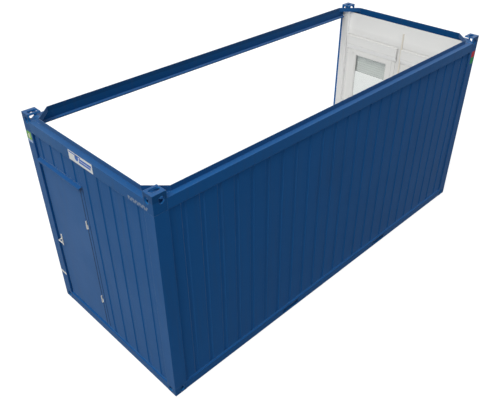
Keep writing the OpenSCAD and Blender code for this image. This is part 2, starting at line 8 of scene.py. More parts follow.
# %% Load the construction model
import json
import math

import bmesh
import bpy
from mathutils import Matrix, Vector


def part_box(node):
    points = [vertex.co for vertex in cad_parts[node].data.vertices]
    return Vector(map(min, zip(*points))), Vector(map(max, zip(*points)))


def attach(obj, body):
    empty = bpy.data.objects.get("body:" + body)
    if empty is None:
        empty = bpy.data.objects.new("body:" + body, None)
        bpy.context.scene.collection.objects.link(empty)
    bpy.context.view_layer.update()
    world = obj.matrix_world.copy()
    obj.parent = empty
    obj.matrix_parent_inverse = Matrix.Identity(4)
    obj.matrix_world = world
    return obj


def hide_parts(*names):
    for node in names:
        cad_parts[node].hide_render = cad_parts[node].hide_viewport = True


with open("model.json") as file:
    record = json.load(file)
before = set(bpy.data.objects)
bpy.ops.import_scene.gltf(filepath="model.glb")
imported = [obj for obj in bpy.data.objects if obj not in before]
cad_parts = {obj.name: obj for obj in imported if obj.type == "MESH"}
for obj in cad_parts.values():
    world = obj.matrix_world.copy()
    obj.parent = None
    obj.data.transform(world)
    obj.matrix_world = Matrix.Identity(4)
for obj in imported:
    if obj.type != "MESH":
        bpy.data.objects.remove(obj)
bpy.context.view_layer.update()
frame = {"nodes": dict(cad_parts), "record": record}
nodes = frame["nodes"]

# %% [markdown]
# ## The sizes that the details hang on
# Details have to meet the steel exactly, so their places are read from the boxes of the
# construction pieces rather than typed in. Only sizes that no box gives, such as the section of a
# post, are written down here once and used by name from then on.

# %% Read the main planes
TO_WINDOWS = Vector((1.0, 0.0, 0.0))
TO_OPEN = Vector((0.0, 1.0, 0.0))
UP = Vector((0.0, 0.0, 1.0))
END_X, SIDE_Y, TOP_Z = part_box("top_castings")[1]
BASE_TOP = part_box("base_castings")[1].z
WEB_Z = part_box("roof_rail_open_side")[0].z
FLOOR_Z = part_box("floor_boards")[1].z
PANEL_FACE_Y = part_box("panel_closed_side")[0].y
LEAF_LOW, LEAF_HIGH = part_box("door_leaf")
print("half length", round(END_X, 4), "half width", round(SIDE_Y, 4), "height", round(TOP_Z, 4))

# %% Sizes of the posts and of the roof frame
POST_LEN = 0.170
POST_WID = 0.150
POST_IN_X = END_X - POST_LEN
POST_IN_Y = SIDE_Y - POST_WID
UPSTAND_HIGH = 0.060
FLANGE_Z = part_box("roof_corner_plates")[1].z - UPSTAND_HIGH
print("roof frame: web from", round(WEB_Z, 4), "flange at", round(FLANGE_Z, 4))

# %% [markdown]
# ## The camera
# The camera stands high in front of the corner between the door end and the closed side, so that
# one looks down into the room through the missing roof. It is placed by its position and by two
# angles: how far it is turned about the upright, and how far it looks down.

# %% Set up the camera
CAMERA_PLACE = (-5.350, -4.799, 5.679)
CAMERA_TURN = math.radians(-45.03)
CAMERA_DOWN = math.radians(35.21)
LENS = 41.22
SENSOR_WIDE = 36.0
SHIFT = (-0.0051, 0.0107)


def add_object(name, data, place=(0.0, 0.0, 0.0), looking=None):
    """Puts an object into the scene; a camera or a lamp is turned to look along a direction."""
    thing = bpy.data.objects.new(name, data)
    thing.location = place
    if looking is not None:
        thing.rotation_euler = Vector(looking).to_track_quat("-Z", "Y").to_euler()
    bpy.context.scene.collection.objects.link(thing)
    return thing


camera_data = bpy.data.cameras.new("camera")
camera_data.lens = LENS
camera_data.sensor_width = SENSOR_WIDE
camera_data.shift_x, camera_data.shift_y = SHIFT
camera_data.clip_end = 200.0
camera_looks = (-math.sin(CAMERA_TURN) * math.cos(CAMERA_DOWN),
                math.cos(CAMERA_TURN) * math.cos(CAMERA_DOWN), -math.sin(CAMERA_DOWN))
bpy.context.scene.camera = add_object("camera", camera_data, CAMERA_PLACE, camera_looks)
print("camera at", CAMERA_PLACE)

# %% [markdown]
# ## Tools for materials
# A finish is a small network of shader nodes. Every finish here starts from the same few moves:
# read the place on the object, make a soft noise from it, and turn the noise into a colour, a
# roughness or a bump. Writing these moves as functions keeps each finish down to the lines that
# make it special.

# %% Add nodes and join them up
class Network:
    """The nodes of a material or of the sky. A value may be an output, a number or a colour."""

    def __init__(self, owner):
        self.owner = owner
        self.nodes = owner.node_tree.nodes
        self.shader = self.nodes.get("Principled BSDF")

    def plug(self, socket, value):
        if isinstance(value, bpy.types.NodeSocket):
            self.owner.node_tree.links.new(value, socket)
        elif isinstance(value, tuple) and len(socket.default_value) == 4:
            socket.default_value = (*value, 1.0)
        else:
            socket.default_value = value

    def add(self, kind, inputs=None):
        """Adds a node and plugs a value into each of the inputs named."""
        node = self.nodes.new("ShaderNode" + kind)
        for key, value in (inputs or {}).items():
            self.plug(node.inputs[key], value)
        return node

    def set(self, name, value):
        """Plugs a value into the shader."""
        self.plug(self.shader.inputs[name], value)


finishes = {}


def start_material(name, colour, roughness, metallic=0.0, gloss=0.5):
    """Starts a finish, which is kept under its name from then on."""
    material = bpy.data.materials.new(name)
    material.use_nodes = True
    net = finishes[name] = Network(material)
    for key, value in (("Base Color", colour), ("Roughness", roughness), ("Metallic", metallic),
                       ("Specular IOR Level", gloss)):
        net.set(key, value)
    return net


print("networks can be built")

# %% Read the place on the object and make noise
def on_object(net, stretch=(1.0, 1.0, 1.0)):
    """The place on the object, stretched if a pattern has to run one way."""
    where = net.add("TexCoord").outputs["Object"]
    return net.add("Mapping", {"Vector": where, "Scale": stretch}).outputs["Vector"]


def axes(net):
    """The place on the object as three numbers, by the names X, Y and Z."""
    return net.add("SeparateXYZ", {"Vector": on_object(net)}).outputs


def remap(net, value, low, high, to_low=0.0, to_high=1.0):
    """Stretches the range from low to high over another one and cuts off what lies beyond."""
    return net.add("MapRange", {"Value": value, "From Min": low, "From Max": high,
                                "To Min": to_low, "To Max": to_high}).outputs["Result"]


def between(net, share, first, second):
    """The number that lies between two others by a share."""
    return remap(net, share, 0.0, 1.0, first, second)


def noise(net, scale, detail, low=0.0, high=1.0, rough=0.5, stretch=(1.0, 1.0, 1.0)):
    """Soft noise, of which only the range from low to high is kept."""
    soft = net.add("TexNoise", {"Vector": on_object(net, stretch), "Scale": scale,
                                "Detail": detail, "Roughness": rough}).outputs["Fac"]
    return remap(net, soft, low, high)


print("places and noise ready")

# %% Combine numbers and mix colours
def combine(net, operation, first, second=0.0):
    """One step of arithmetic. Sums, products and maxima are kept between zero and one."""
    node = net.add("Math", {0: first, 1: second})
    node.operation = operation
    node.use_clamp = operation in ("ADD", "MULTIPLY", "MAXIMUM")
    return node.outputs[0]


def times(net, first, *others):
    for other in others:
        first = combine(net, "MULTIPLY", first, other)
    return first


def away(net, value, middle):
    """How far a value lies from the middle, to either side."""
    return combine(net, "ABSOLUTE", combine(net, "SUBTRACT", value, middle))


def mix(net, first, second, *shares):
    """Goes from the first colour to the second, by the product of the shares."""
    node = net.add("Mix")
    node.data_type = "RGBA"
    for key, value in ((0, times(net, *shares)), (6, first), (7, second)):
        net.plug(node.inputs[key], value)
    return node.outputs[2]


def recolour(net, target, *shares):
    """Mixes the colour that a finish has so far toward another."""
    socket = net.shader.inputs["Base Color"]
    so_far = socket.links[0].from_socket if socket.is_linked else tuple(socket.default_value)[:3]
    net.set("Base Color", mix(net, so_far, target, *shares))


def grey(level):
    return (level, level, level)


def shade(colour, share):
    """The colour, darker or brighter by a share."""
    return tuple(part * share for part in colour)


print("colour tools ready")

# %% [markdown]
# ### Edges, faces and bumps
# Paint on steel thins out along the edges and catches the light there. The Bevel node rounds the
# normals near an edge without touching the mesh. Where that rounded normal leans away from the
# true one there is an edge, and the difference is a mask for a paler line, part wear and part
# painted highlight. A true normal that is compared with a fixed direction tells in the same way
# which faces look up or to one side.

# %% Compare normals and add bumps
def compare(net, normal):
    """One where the true normal is the same as another, less where it leans away."""
    true = net.add("NewGeometry").outputs["Normal"]
    node = net.add("VectorMath", {0: true, 1: normal})
    node.operation = "DOT_PRODUCT"
    return node.outputs["Value"]


def facing(net, direction, low=0.5, high=0.9):
    """One on faces that look in a direction, zero on those that lean away from it."""
    return remap(net, compare(net, direction), low, high)


def round_edges(net, radius):
    """Rounds the normals of a finish near every edge and hands them back."""
    node = net.add("Bevel", {"Radius": radius})
    node.samples = 4
    net.set("Normal", node.outputs["Normal"])
    return node.outputs["Normal"]


def bump(net, height, distance, strength=0.3):
    """Adds a bump on top of the normals that a finish has so far."""
    node = net.add("Bump", {"Height": height, "Distance": distance, "Strength": strength})
    for link in net.shader.inputs["Normal"].links:
        net.plug(node.inputs["Normal"], link.from_socket)
    net.set("Normal", node.outputs["Normal"])


def dimples(net, scale, distance, strength=0.3):
    """A fine, even skin over the whole surface."""
    bump(net, noise(net, scale, 2.0), distance, strength)


print("edge, face and bump tools ready")

# %% [markdown]
# ## Blue paint on steel
# The frame and the walls are sprayed in one blue. A thin pale veil lies on the faces that look to
# the sun, part chalking and part painted reflection, rain draws faint upright streaks, and dust
# lies on what looks up. Faces that look up are painted lighter, as painted light, and the upstands
# over the flange darker, as painted shade. The paint itself has the fine skin of an orange, and
# thin sheet is never quite flat, so a second, very long bump bends the reflections a little.

# %% Choose the colours of the blue paint
BLUE = (0.006, 0.106, 0.340)
# Paler edges: part wear, part painted highlight.
BLUE_WORN_AND_HIGHLIGHT = (0.045, 0.160, 0.36)
BLUE_DEEP = (0.004, 0.078, 0.255)
# Painted sheen toward one end of a rail.
BLUE_PAINTED_SHEEN = (0.10, 0.26, 0.46)
# Painted light inside the hollows of the castings.
BLUE_PAINTED_HOLLOW_LIGHT = (0.020, 0.23, 0.62)
GRIME = (0.055, 0.062, 0.062)
# The chalk also serves as painted reflection on faces toward the door end.
CHALK_AND_SHEEN = (0.30, 0.34, 0.38)
DUST_ON_SIDES = 0.36
DUST_ON_TOPS = 1.0
DUST_SPREAD = 0.31
# Painted shade on the upstands above the flange and painted light on faces that look up.
UPSTAND_SHADE = 0.74
TOP_LIGHT = 1.08
TOP_GLOSS = 0.26
SKIN_DEEP = 0.003
STREAKS = (9.0, 9.0, 0.45)
print("blue", BLUE, "worn to", BLUE_WORN_AND_HIGHLIGHT, "and under dust", CHALK_AND_SHEEN)

# %% Build the blue paint
def deep_inside(net, place):
    """One on faces that lie more than a few millimetres inside the outer box, zero outside."""
    depths = []
    for axis, middle, reach in (("X", 0.0, END_X), ("Y", 0.0, SIDE_Y),
                                ("Z", TOP_Z / 2.0, TOP_Z / 2.0)):
        skin = reach - SKIN_DEEP
        depths.append(remap(net, away(net, place[axis], middle), skin, skin - 0.001))
    return times(net, *depths)


def blue_paint(name, base=BLUE, veil_and_sheen=0.03, wave=0.002, gloss=0.16, side_shade=1.0, edge=0.004,
               sheen_ramp=None, hollow_light=0.0):
    """The veil is a pale film on faces to the sun, part chalk and part painted reflection; the
    side share is painted shade on faces that do not look up; the axis pair gives a painted sheen
    that grows toward the end of that axis; the last share is painted light in the hollow inside."""
    net = start_material(name, base, 0.55, gloss=gloss)
    place = axes(net)
    looks_up = facing(net, UP)
    net.set("Sheen Weight", between(net, looks_up, DUST_ON_SIDES, DUST_ON_TOPS))
    net.set("Sheen Roughness", DUST_SPREAD)
    net.set("Specular IOR Level", between(net, looks_up, gloss, TOP_GLOSS))
    above_flange = remap(net, place["Z"], FLANGE_Z, FLANGE_Z + 0.004)
    # Painted shade: faces that do not look up take the side share, and the upstands above the
    # flange are darker still.
    side = shade(base, side_shade)
    net.set("Base Color", mix(net, side, shade(side, UPSTAND_SHADE), above_flange))
    # Painted light: faces that look up are lighter.
    recolour(net, shade(base, TOP_LIGHT), looks_up)
    # Painted sheen that grows toward one end of an axis.
    if sheen_ramp:
        axis, share = sheen_ramp
        reach = {"X": END_X, "Y": SIDE_Y}[axis]
        recolour(net, BLUE_PAINTED_SHEEN, remap(net, place[axis], -reach, reach, 0.0, share))
    # Painted light in the hollow inside, where shade falls.
    if hollow_light > 0.0:
        recolour(net, BLUE_PAINTED_HOLLOW_LIGHT, deep_inside(net, place), hollow_light)
    clouds = noise(net, 1.1, 4.0, 0.32, 0.70)
    recolour(net, BLUE_DEEP, clouds, 0.35)
    recolour(net, GRIME, noise(net, 2.2, 5.0, 0.50, 0.78, rough=0.6, stretch=STREAKS), 0.16)
    # A pale veil on faces toward the door end: part chalking, part painted reflection.
    recolour(net, CHALK_AND_SHEEN, facing(net, -TO_WINDOWS, 0.4), veil_and_sheen, between(net, clouds, 1.15, 0.80))
    recolour(net, CHALK_AND_SHEEN, looks_up, noise(net, 55.0, 2.0, 0.66, 0.80), 0.25)
    # A paler line along every edge: part wear, part painted highlight.
    lean = combine(net, "SUBTRACT", 1.0, compare(net, round_edges(net, edge)))
    recolour(net, BLUE_WORN_AND_HIGHLIGHT, remap(net, lean, 0.004, 0.12), between(net, clouds, 0.75, 0.40))
    net.set("Roughness", between(net, clouds, 0.48, 0.62))
    dimples(net, 240.0, 0.0004, 0.35)
    bump(net, noise(net, 2.6, 1.0), wave, 0.5)


print("the paint can be mixed")

# %% Mix the blue for each kind of part
blue_paint("frame_paint")
blue_paint("wall_paint", wave=0.006)
# Painted shade: the far rails are darker on every face that does not look up.
blue_paint("rail_paint", veil_and_sheen=0.0, gloss=0.08, side_shade=0.66)
# The castings carry painted light in their hollows.
blue_paint("casting_paint", shade(BLUE, 0.90), gloss=0.12, edge=0.005, hollow_light=1.0)
# Painted sheen toward the open side on the door end rail and toward the window end on the closed
# side rail.
blue_paint("door_rail_paint", sheen_ramp=("Y", 0.18))
blue_paint("side_rail_paint", sheen_ramp=("X", 0.10))
# The door is painted lighter, with a thicker veil, as painted reflection on the door end.
blue_paint("door_paint", shade(BLUE, 1.08), veil_and_sheen=0.06, wave=0.004)
print("made", list(finishes))

# %% [markdown]
# ### The marks on the far post
# The post at the window end carries a red block over a green one, sprayed through a stencil on the
# side that faces the closed long side. It is paint, not a plate, so it is mixed into the post's
# own finish: a mask made from the place on the post is one inside the block and zero outside.

# %% Spray a block into a finish
MARK_RED = (0.72, 0.030, 0.035)
MARK_GREEN = (0.015, 0.37, 0.09)
MARK_ACROSS = (END_X - 0.108, END_X - 0.018)
SPRAY_BLUR = 0.0008


def inside(net, value, low, high):
    """One between two values and zero outside them, with a narrow soft rim."""
    return times(net, remap(net, value, low - SPRAY_BLUR, low + SPRAY_BLUR),
                 remap(net, value, high + SPRAY_BLUR, high - SPRAY_BLUR))


def spray_blocks(name, across, blocks):
    """Blocks are colours with their low and high ends, all between the same two X."""
    net = finishes[name]
    place = axes(net)
    on_side = facing(net, -TO_OPEN)
    thin = between(net, noise(net, 40.0, 5.0, 0.55, 0.75, rough=0.7), 1.0, 0.80)
    for tint, low_z, high_z in blocks:
        recolour(net, tint, inside(net, place["X"], *across),
                 inside(net, place["Z"], low_z, high_z), on_side, thin)


blue_paint("marked_paint")
spray_blocks("marked_paint", MARK_ACROSS, [(MARK_RED, 2.500, 2.592), (MARK_GREEN, 2.400, 2.500)])
print("marks sprayed between", MARK_ACROSS)

# %% [markdown]
# ## White lining boards
# Inside, the walls are thin steel or laminated boards with a baked white finish: nearly even, a
# little satin, with a fine dimpled skin. A trace of grey where hands and furniture pass keeps it
# from looking like paper.

# %% Build the white board
WHITE_BOARD = grey(0.83)
SCUFFS = (3.0, 3.0, 14.0)


def white_finish(name, base, roughness=0.55, dimple=0.0004, gloss=0.35):
    net = start_material(name, base, roughness, gloss=gloss)
    clouds = noise(net, 0.9, 3.0, 0.35, 0.70)
    scuffs = noise(net, 3.0, 6.0, 0.62, 0.80, rough=0.7, stretch=SCUFFS)
    recolour(net, shade(base, 0.93), clouds, 0.6)
    recolour(net, shade(base, 0.80), scuffs, 0.25)
    net.set("Roughness", between(net, clouds, roughness - 0.05, roughness + 0.06))
    round_edges(net, 0.003)
    dimples(net, 320.0, dimple)


white_finish("white_board", WHITE_BOARD)
white_finish("white_plastic", (0.72, 0.72, 0.715), 0.35, 0.0001, gloss=0.5)
white_finish("box_white", grey(0.765), 0.45, 0.0002)
white_finish("cream_plastic", (0.72, 0.68, 0.61), 0.45, 0.0002)
print("made the white finishes")

# %% [markdown]
# ## Floor sheet
# The floor is a welded sheet of hard-wearing plastic: grey, scattered with light and dark flecks
# the size of a grain of rice. Cell noise gives each fleck its own tone, and a fine bump keeps it
# matte.

# %% Build the floor sheet
SHEET_GREY = (0.40, 0.40, 0.39)
FLECK_PALE = (0.55, 0.55, 0.53)
FLECK_DARK = grey(0.12)
FLECKS_PER_METRE = 160.0
net = start_material("floor_sheet", SHEET_GREY, 0.6, gloss=0.3)
cells = net.add("TexVoronoi", {"Vector": on_object(net), "Scale": FLECKS_PER_METRE})
tones = net.add("SeparateColor", {"Color": cells.outputs["Color"]}).outputs
recolour(net, shade(SHEET_GREY, 0.82), noise(net, 1.4, 4.0, 0.35, 0.70), 0.35)
recolour(net, FLECK_PALE, remap(net, tones[0], 0.80, 0.86), 0.7)
recolour(net, FLECK_DARK, remap(net, tones[1], 0.84, 0.90), 0.6)
dimples(net, 420.0, 0.0004)
print("made the floor sheet")

# %% [markdown]
# ## Metal fittings, rubber, glass and slats
# Bare fittings are zinc plated or brushed aluminium: the grain is a noise stretched along one
# direction that changes the roughness more than the colour. Rubber is nearly black with a dusty
# bloom. The double glass takes a little off the light, with a faint green cast, and the slats are
# foamed aluminium lacquered in light grey.

# %% Build the metals
BRUSHED = (4.0, 4.0, 160.0)


def brushed_metal(name, base, roughness, metallic):
    net = start_material(name, base, roughness, metallic)
    lines = noise(net, 6.0, 3.0, stretch=BRUSHED)
    recolour(net, shade(base, 0.75), noise(net, 60.0, 3.0, 0.40, 0.65), 0.5)
    net.set("Roughness", remap(net, lines, 0.3, 0.7, roughness - 0.08, roughness + 0.10))
    round_edges(net, 0.0012)
    bump(net, lines, 0.0001)


brushed_metal("plated_steel", (0.92, 0.91, 0.88), 0.45, 0.20)
brushed_metal("handle_metal", (0.88, 0.86, 0.80), 0.40, 0.35)
print("made the metals")

# %% Build the rubber
RUBBER_DUST = (0.07, 0.07, 0.068)


def dusty_rubber(name, base=(0.012, 0.012, 0.013)):
    net = start_material(name, base, 0.75, gloss=0.3)
    recolour(net, RUBBER_DUST, noise(net, 14.0, 4.0, 0.45, 0.75), 0.3)
    dimples(net, 500.0, 0.0002)


dusty_rubber("rubber")
print("made the rubber")

# %% Build the glass
GLASS_TINT = (0.865, 0.884, 0.882)
LIGHT_TINT = (0.90, 0.92, 0.91)
SMEARS = (1.0, 2.5, 1.0)
net = start_material("clear_glass", GLASS_TINT, 0.02)
net.set("Transmission Weight", 1.0)
net.set("IOR", 1.45)
smears = noise(net, 5.0, 4.0, 0.45, 0.75, stretch=SMEARS)
net.set("Roughness", between(net, smears, 0.01, 0.05))
# Light that only passes through on its way to a surface is let by without being bent.
lets_by = net.add("BsdfTransparent", {"Color": LIGHT_TINT}).outputs[0]
seen = net.add("LightPath").outputs
passing = combine(net, "MAXIMUM", seen["Is Shadow Ray"], seen["Is Diffuse Ray"])
both = net.add("MixShader", {0: passing, 1: net.shader.outputs[0], 2: lets_by})
net.plug(net.nodes["Material Output"].inputs["Surface"], both.outputs[0])
print("made the glass")

# %% Build the slats
SLAT_PITCH = 0.039
BAR_HIGH = 0.046
GROOVE_FROM = 0.70
GROOVE_FULL = 0.82
ALONG_SLATS = (1.0, 1.0, 26.0)
SLAT_GREY = (0.76, 0.77, 0.77)
CURTAIN_LOW, CURTAIN_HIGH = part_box("shutter_curtains")
net = start_material("slat_grey", SLAT_GREY, 0.45, gloss=0.4)
recolour(net, shade(SLAT_GREY, 0.92), noise(net, 3.0, 3.0, 0.35, 0.65, stretch=ALONG_SLATS), 0.3)
# Painted shade: the slats are darker in the groove at the top of every slat, counted from the end
# bar.
rise = combine(net, "SUBTRACT", axes(net)["Z"], CURTAIN_LOW.z + BAR_HIGH)
share = combine(net, "FRACT", combine(net, "DIVIDE", rise, SLAT_PITCH))
recolour(net, shade(SLAT_GREY, 0.80), remap(net, share, GROOVE_FROM, GROOVE_FULL), 0.75)
dimples(net, 300.0, 0.0002, 0.25)
print("made the slats' lacquer")

# %% [markdown]
# ## Dress the construction pieces
# Every construction piece already names the slot that its finish comes from. The finishes above
# are kept under the names of the slots, so a piece that is added later is dressed the same way. A
# few pieces then get a variant of their own, such as the rails with a painted sheen toward one end
# and the far rails with painted shade.

# %% Give each piece its finish
finishes["shutter_slats"] = finishes["slat_grey"]
finishes["plate_white"] = finishes["white_plastic"]
slots = {entry["node"]: entry["material_slot"] for entry in frame["record"]["subparts"]}


def dress(finish, *names):
    for name in names:
        materials = nodes[name].data.materials
        materials.clear()
        materials.append(finishes[finish].owner)


for name, slot in slots.items():
    dress(slot, name)
dress("rail_paint", "roof_rail_open_side", "roof_rail_window_end")
dress("casting_paint", "top_castings", "base_castings")
dress("marked_paint", "post_window_closed")
dress("door_paint", "door_leaf")
dress("door_rail_paint", "roof_rail_door_end")
dress("side_rail_paint", "roof_rail_closed_side")
dress("box_white", "shutter_boxes")
print("dressed", len(slots), "construction pieces")

# %% [markdown]
# ### Hinges that were painted over
# The wings of the hinges are sprayed over together with the wall, and only the turned knuckles and
# the rim of the frame's wing stay bright. A mask made from the place across the hinge switches
# between paint and metal, so that the spray edge needs no seam in the mesh.

# %% Spray over the wings of the hinges
BRIGHT_METAL = (0.95, 0.93, 0.88)
BRIGHT_HALF = 0.0085
BRIGHT_ASIDE = 0.0080
HINGE_METALLIC = 0.35
CRISP = 0.0004
FRAME_HINGE_LOW, FRAME_HINGE_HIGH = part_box("hinge_frame_halves")
LEAF_HINGE_LOW, LEAF_HINGE_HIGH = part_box("hinge_leaf_halves")
HINGE_Y = (FRAME_HINGE_HIGH.y + LEAF_HINGE_LOW.y) / 2.0
net = start_material("hinge_finish", BRIGHT_METAL, 0.42, HINGE_METALLIC)
aside = away(net, axes(net)["Y"], HINGE_Y - BRIGHT_ASIDE)
painted = remap(net, aside, BRIGHT_HALF, BRIGHT_HALF + CRISP)
recolour(net, BLUE, painted)
net.set("Metallic", between(net, painted, HINGE_METALLIC, 0.0))
round_edges(net, 0.001)
dimples(net, 300.0, 0.0001)
dress("hinge_finish", "hinge_frame_halves", "hinge_leaf_halves")
print("hinge wings sprayed over")

# %% [markdown]
# ### Painted shade on the leaf's edge
# The gap between the hinge edge of the leaf and the frame lies in shade. That shade is painted
# into the door's own finish: everything within a few millimetres of that edge turns deep navy.

# %% Paint shade on the hinge edge of the leaf
GAP_SHADE_NAVY = (0.005, 0.040, 0.130)
GAP_SHADE_WIDE = 0.010


def fade_toward(name, axis, start, end, target):
    """Mixes a finish toward another colour: nothing of it at the start, all of it at the end."""
    net = finishes[name]
    recolour(net, target, remap(net, axes(net)[axis], start, end))


leaf_edge_y = LEAF_LOW.y + GAP_SHADE_WIDE
fade_toward("door_paint", "Y", leaf_edge_y + CRISP, leaf_edge_y - CRISP, GAP_SHADE_NAVY)
print("rubber pressed on the leaf")

# %% [markdown]
# ### Painted shade and light at the windows
# The lining of the window end grows a little greyer toward the shutter boxes, as painted shade
# just over them. The slats nearest the box are painted lighter toward the top of the pane, as
# painted light.

# %% Paint shade on the boards over the boxes and light on the upper slats
SHADED_BOARD_GREY = grey(0.66)
SHADE_RISE = 0.13
LIT_SLAT = (0.97, 0.98, 0.98)
LIT_DROP = 0.12
GLASS_LOW, GLASS_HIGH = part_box("window_glass")
BOX_LOW, BOX_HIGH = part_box("shutter_boxes")
white_finish("shaded_board", WHITE_BOARD)
dress("shaded_board", "lining_window_end")
# Painted shade: the lining greys toward the top of the shutter boxes.
fade_toward("shaded_board", "Z", BOX_HIGH.z + SHADE_RISE, BOX_HIGH.z, SHADED_BOARD_GREY)
# Painted light: the slats grow lighter toward the top of the pane.
fade_toward("slat_grey", "Z", GLASS_HIGH.z - LIT_DROP, GLASS_HIGH.z, LIT_SLAT)
print("boards shaded and slats freshened")

# %% [markdown]
# ### The boards round the posts
# The boards round the posts are a darker grey than the lining, their narrow returns are painted
# near white as painted light, and a slim blue capping ends each board at the bare steel of the
# post.

# %% Finish the boards round the posts
COVER_BOARD = grey(0.735)
COVER_RETURN_LIT = grey(0.96)
CAPPING_WIDE = 0.010
white_finish("cover_board", COVER_BOARD)
dress("cover_board", "post_covers")
covers = finishes["cover_board"]
# Painted light: the returns that face the closed side are near white.
recolour(covers, COVER_RETURN_LIT, facing(covers, -TO_OPEN, 0.5, 0.7))
capping_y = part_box("post_covers")[1].y - CAPPING_WIDE
fade_toward("cover_board", "Y", capping_y - CRISP, capping_y, BLUE)
print("boards round the posts finished")

# %% [markdown]
# ## Floor of the studio and light
# The container stands on a plain pale floor. To the camera it is almost white, but what it throws
# back onto the walls is kept low, so that the faces turned away from the light stay deep blue. The
# light comes from a very large soft sun over the door end, a weaker one from the closed side, and
# an even sky. Two soft panels inside the room, hidden from the camera, keep the white lining
# bright.

# %% Lay the studio floor
FLOOR_HALF = 60.0
SEEN_BY_CAMERA = grey(0.30)
SEEN_THROUGH_GLASS = (0.80, 0.81, 0.805)
THROWN_BACK = (0.15, 0.15, 0.155)
GLINT_UNDER = grey(0.06)
GLINT_AHEAD = (0.58, 0.58, 0.57)
GLINT_FROM_X, GLINT_FULL_X = -2.6, -4.2
CAMERA_GLOW = 0.84
GLASS_GLOW = 0.18
floor_mesh = bpy.data.meshes.new("studio_floor")
floor_mesh.from_pydata([(x * FLOOR_HALF, y * FLOOR_HALF, 0.0)
                        for x, y in ((-1, -1), (1, -1), (1, 1), (-1, 1))], [], [(0, 1, 2, 3)])
net = start_material("studio_floor", grey(0.86), 0.9, gloss=0.1)
seen = net.add("LightPath").outputs
direct, by_glass = seen["Is Camera Ray"], seen["Is Transmission Ray"]
# Painted reflection: ahead of the door end the floor is brighter in gloss, so the door end shows a
# pale reflection of it.
ahead = remap(net, axes(net)["X"], GLINT_FROM_X, GLINT_FULL_X)
glint = mix(net, GLINT_UNDER, GLINT_AHEAD, ahead)
net.set("Base Color", mix(net, THROWN_BACK, glint, seen["Is Glossy Ray"]))
recolour(net, SEEN_BY_CAMERA, direct)
recolour(net, SEEN_THROUGH_GLASS, by_glass)
net.set("Emission Color", grey(1.0))
net.set("Emission Strength", combine(net, "ADD", times(net, direct, CAMERA_GLOW),
                                     times(net, by_glass, GLASS_GLOW)))
floor_mesh.materials.append(net.owner)
add_object("studio_floor", floor_mesh)
print("studio floor laid")

# %% Light the sky
SKY_TINT = (0.92, 0.96, 1.0)
SKY_STRENGTH = 0.48
sky = bpy.data.worlds.new("sky")
sky.use_nodes = True
sky.node_tree.nodes.clear()
bpy.context.scene.world = sky
net = Network(sky)
# The sky lights evenly, but is plain white to the camera, in gloss and through glass.
seen = net.add("LightPath").outputs
plain = combine(net, "MAXIMUM", seen["Is Glossy Ray"], seen["Is Transmission Ray"])
plain = combine(net, "MAXIMUM", seen["Is Camera Ray"], plain)
lit = net.add("Background", {"Color": SKY_TINT, "Strength": SKY_STRENGTH}).outputs[0]
white = net.add("Background", {"Color": grey(1.0), "Strength": 1.0}).outputs[0]
both = net.add("MixShader", {0: plain, 1: lit, 2: white}).outputs[0]
net.add("OutputWorld", {"Surface": both})
print("sky strength", SKY_STRENGTH)

# %% Hang the suns and the panels
def soft_sun(name, looking, strength, spread, tint=grey(1.0)):
    data = bpy.data.lights.new(name, "SUN")
    data.color = tint
    data.energy = strength
    data.angle = math.radians(spread)
    add_object(name, data, looking=looking)


def room_fill(name, place, looking, size, strength, spread):
    """A soft panel that lights the room but is seen neither directly nor in gloss."""
    data = bpy.data.lights.new(name, "AREA")
    data.shape = "RECTANGLE"
    data.size, data.size_y = size
    data.energy = strength
    data.spread = math.radians(spread)
    fill = add_object(name, data, place, looking)
    fill.visible_camera = False
    fill.visible_glossy = False


soft_sun("sun_over_door_end", (0.62, 0.06, -0.80), 1.6, 40.0, (1.0, 0.975, 0.89))
soft_sun("sun_over_closed_side", (0.10, 0.80, -0.65), 0.16, 50.0)
room_fill("room_fill", (-0.6, 0.0, 0.75), (1.0, 0.0, 0.22), (1.6, 1.0), 8.4, 80.0)
room_fill("corner_fill", (0.9, 0.8, 1.45), (1.0, 0.14, 0.0), (0.5, 1.8), 0.7, 50.0)
bpy.context.scene.view_settings.view_transform = "Standard"

# %% [markdown]
# ## Tools for small parts
# Small parts are sawn from plate, folded, turned or bent from bar. Each way of making has one
# function below, and all of them draw into a sheet of loose mesh. When the sheet is finished it
# becomes a piece: its edges are rounded, its name and finish are set, and it is hung on the body
# that it moves with.

# %% Shapes that are sawn and folded
FLAT_ENOUGH = math.radians(20.0)
SHARP_ENOUGH = math.radians(40.0)
HAIR, THIN = 0.0002, 0.0003


def add_box(sheet, low, high):
    low, high = Vector(low), Vector(high)
    place = Matrix.Translation((low + high) / 2.0) @ Matrix.Diagonal((*(high - low), 1.0))
    bmesh.ops.create_cube(sheet, size=1.0, matrix=place)


def add_prism(sheet, outline, along):
    """An outline pushed along a direction."""
    near = [sheet.verts.new(point) for point in outline]
    far = [sheet.verts.new(Vector(point) + Vector(along)) for point in outline]
    sheet.faces.new(near)
    sheet.faces.new(far)
    for i in range(len(outline)):
        sheet.faces.new((near[i], near[i - 1], far[i - 1], far[i]))


print("sawing and folding ready, parts are kept a hair apart:", HAIR)

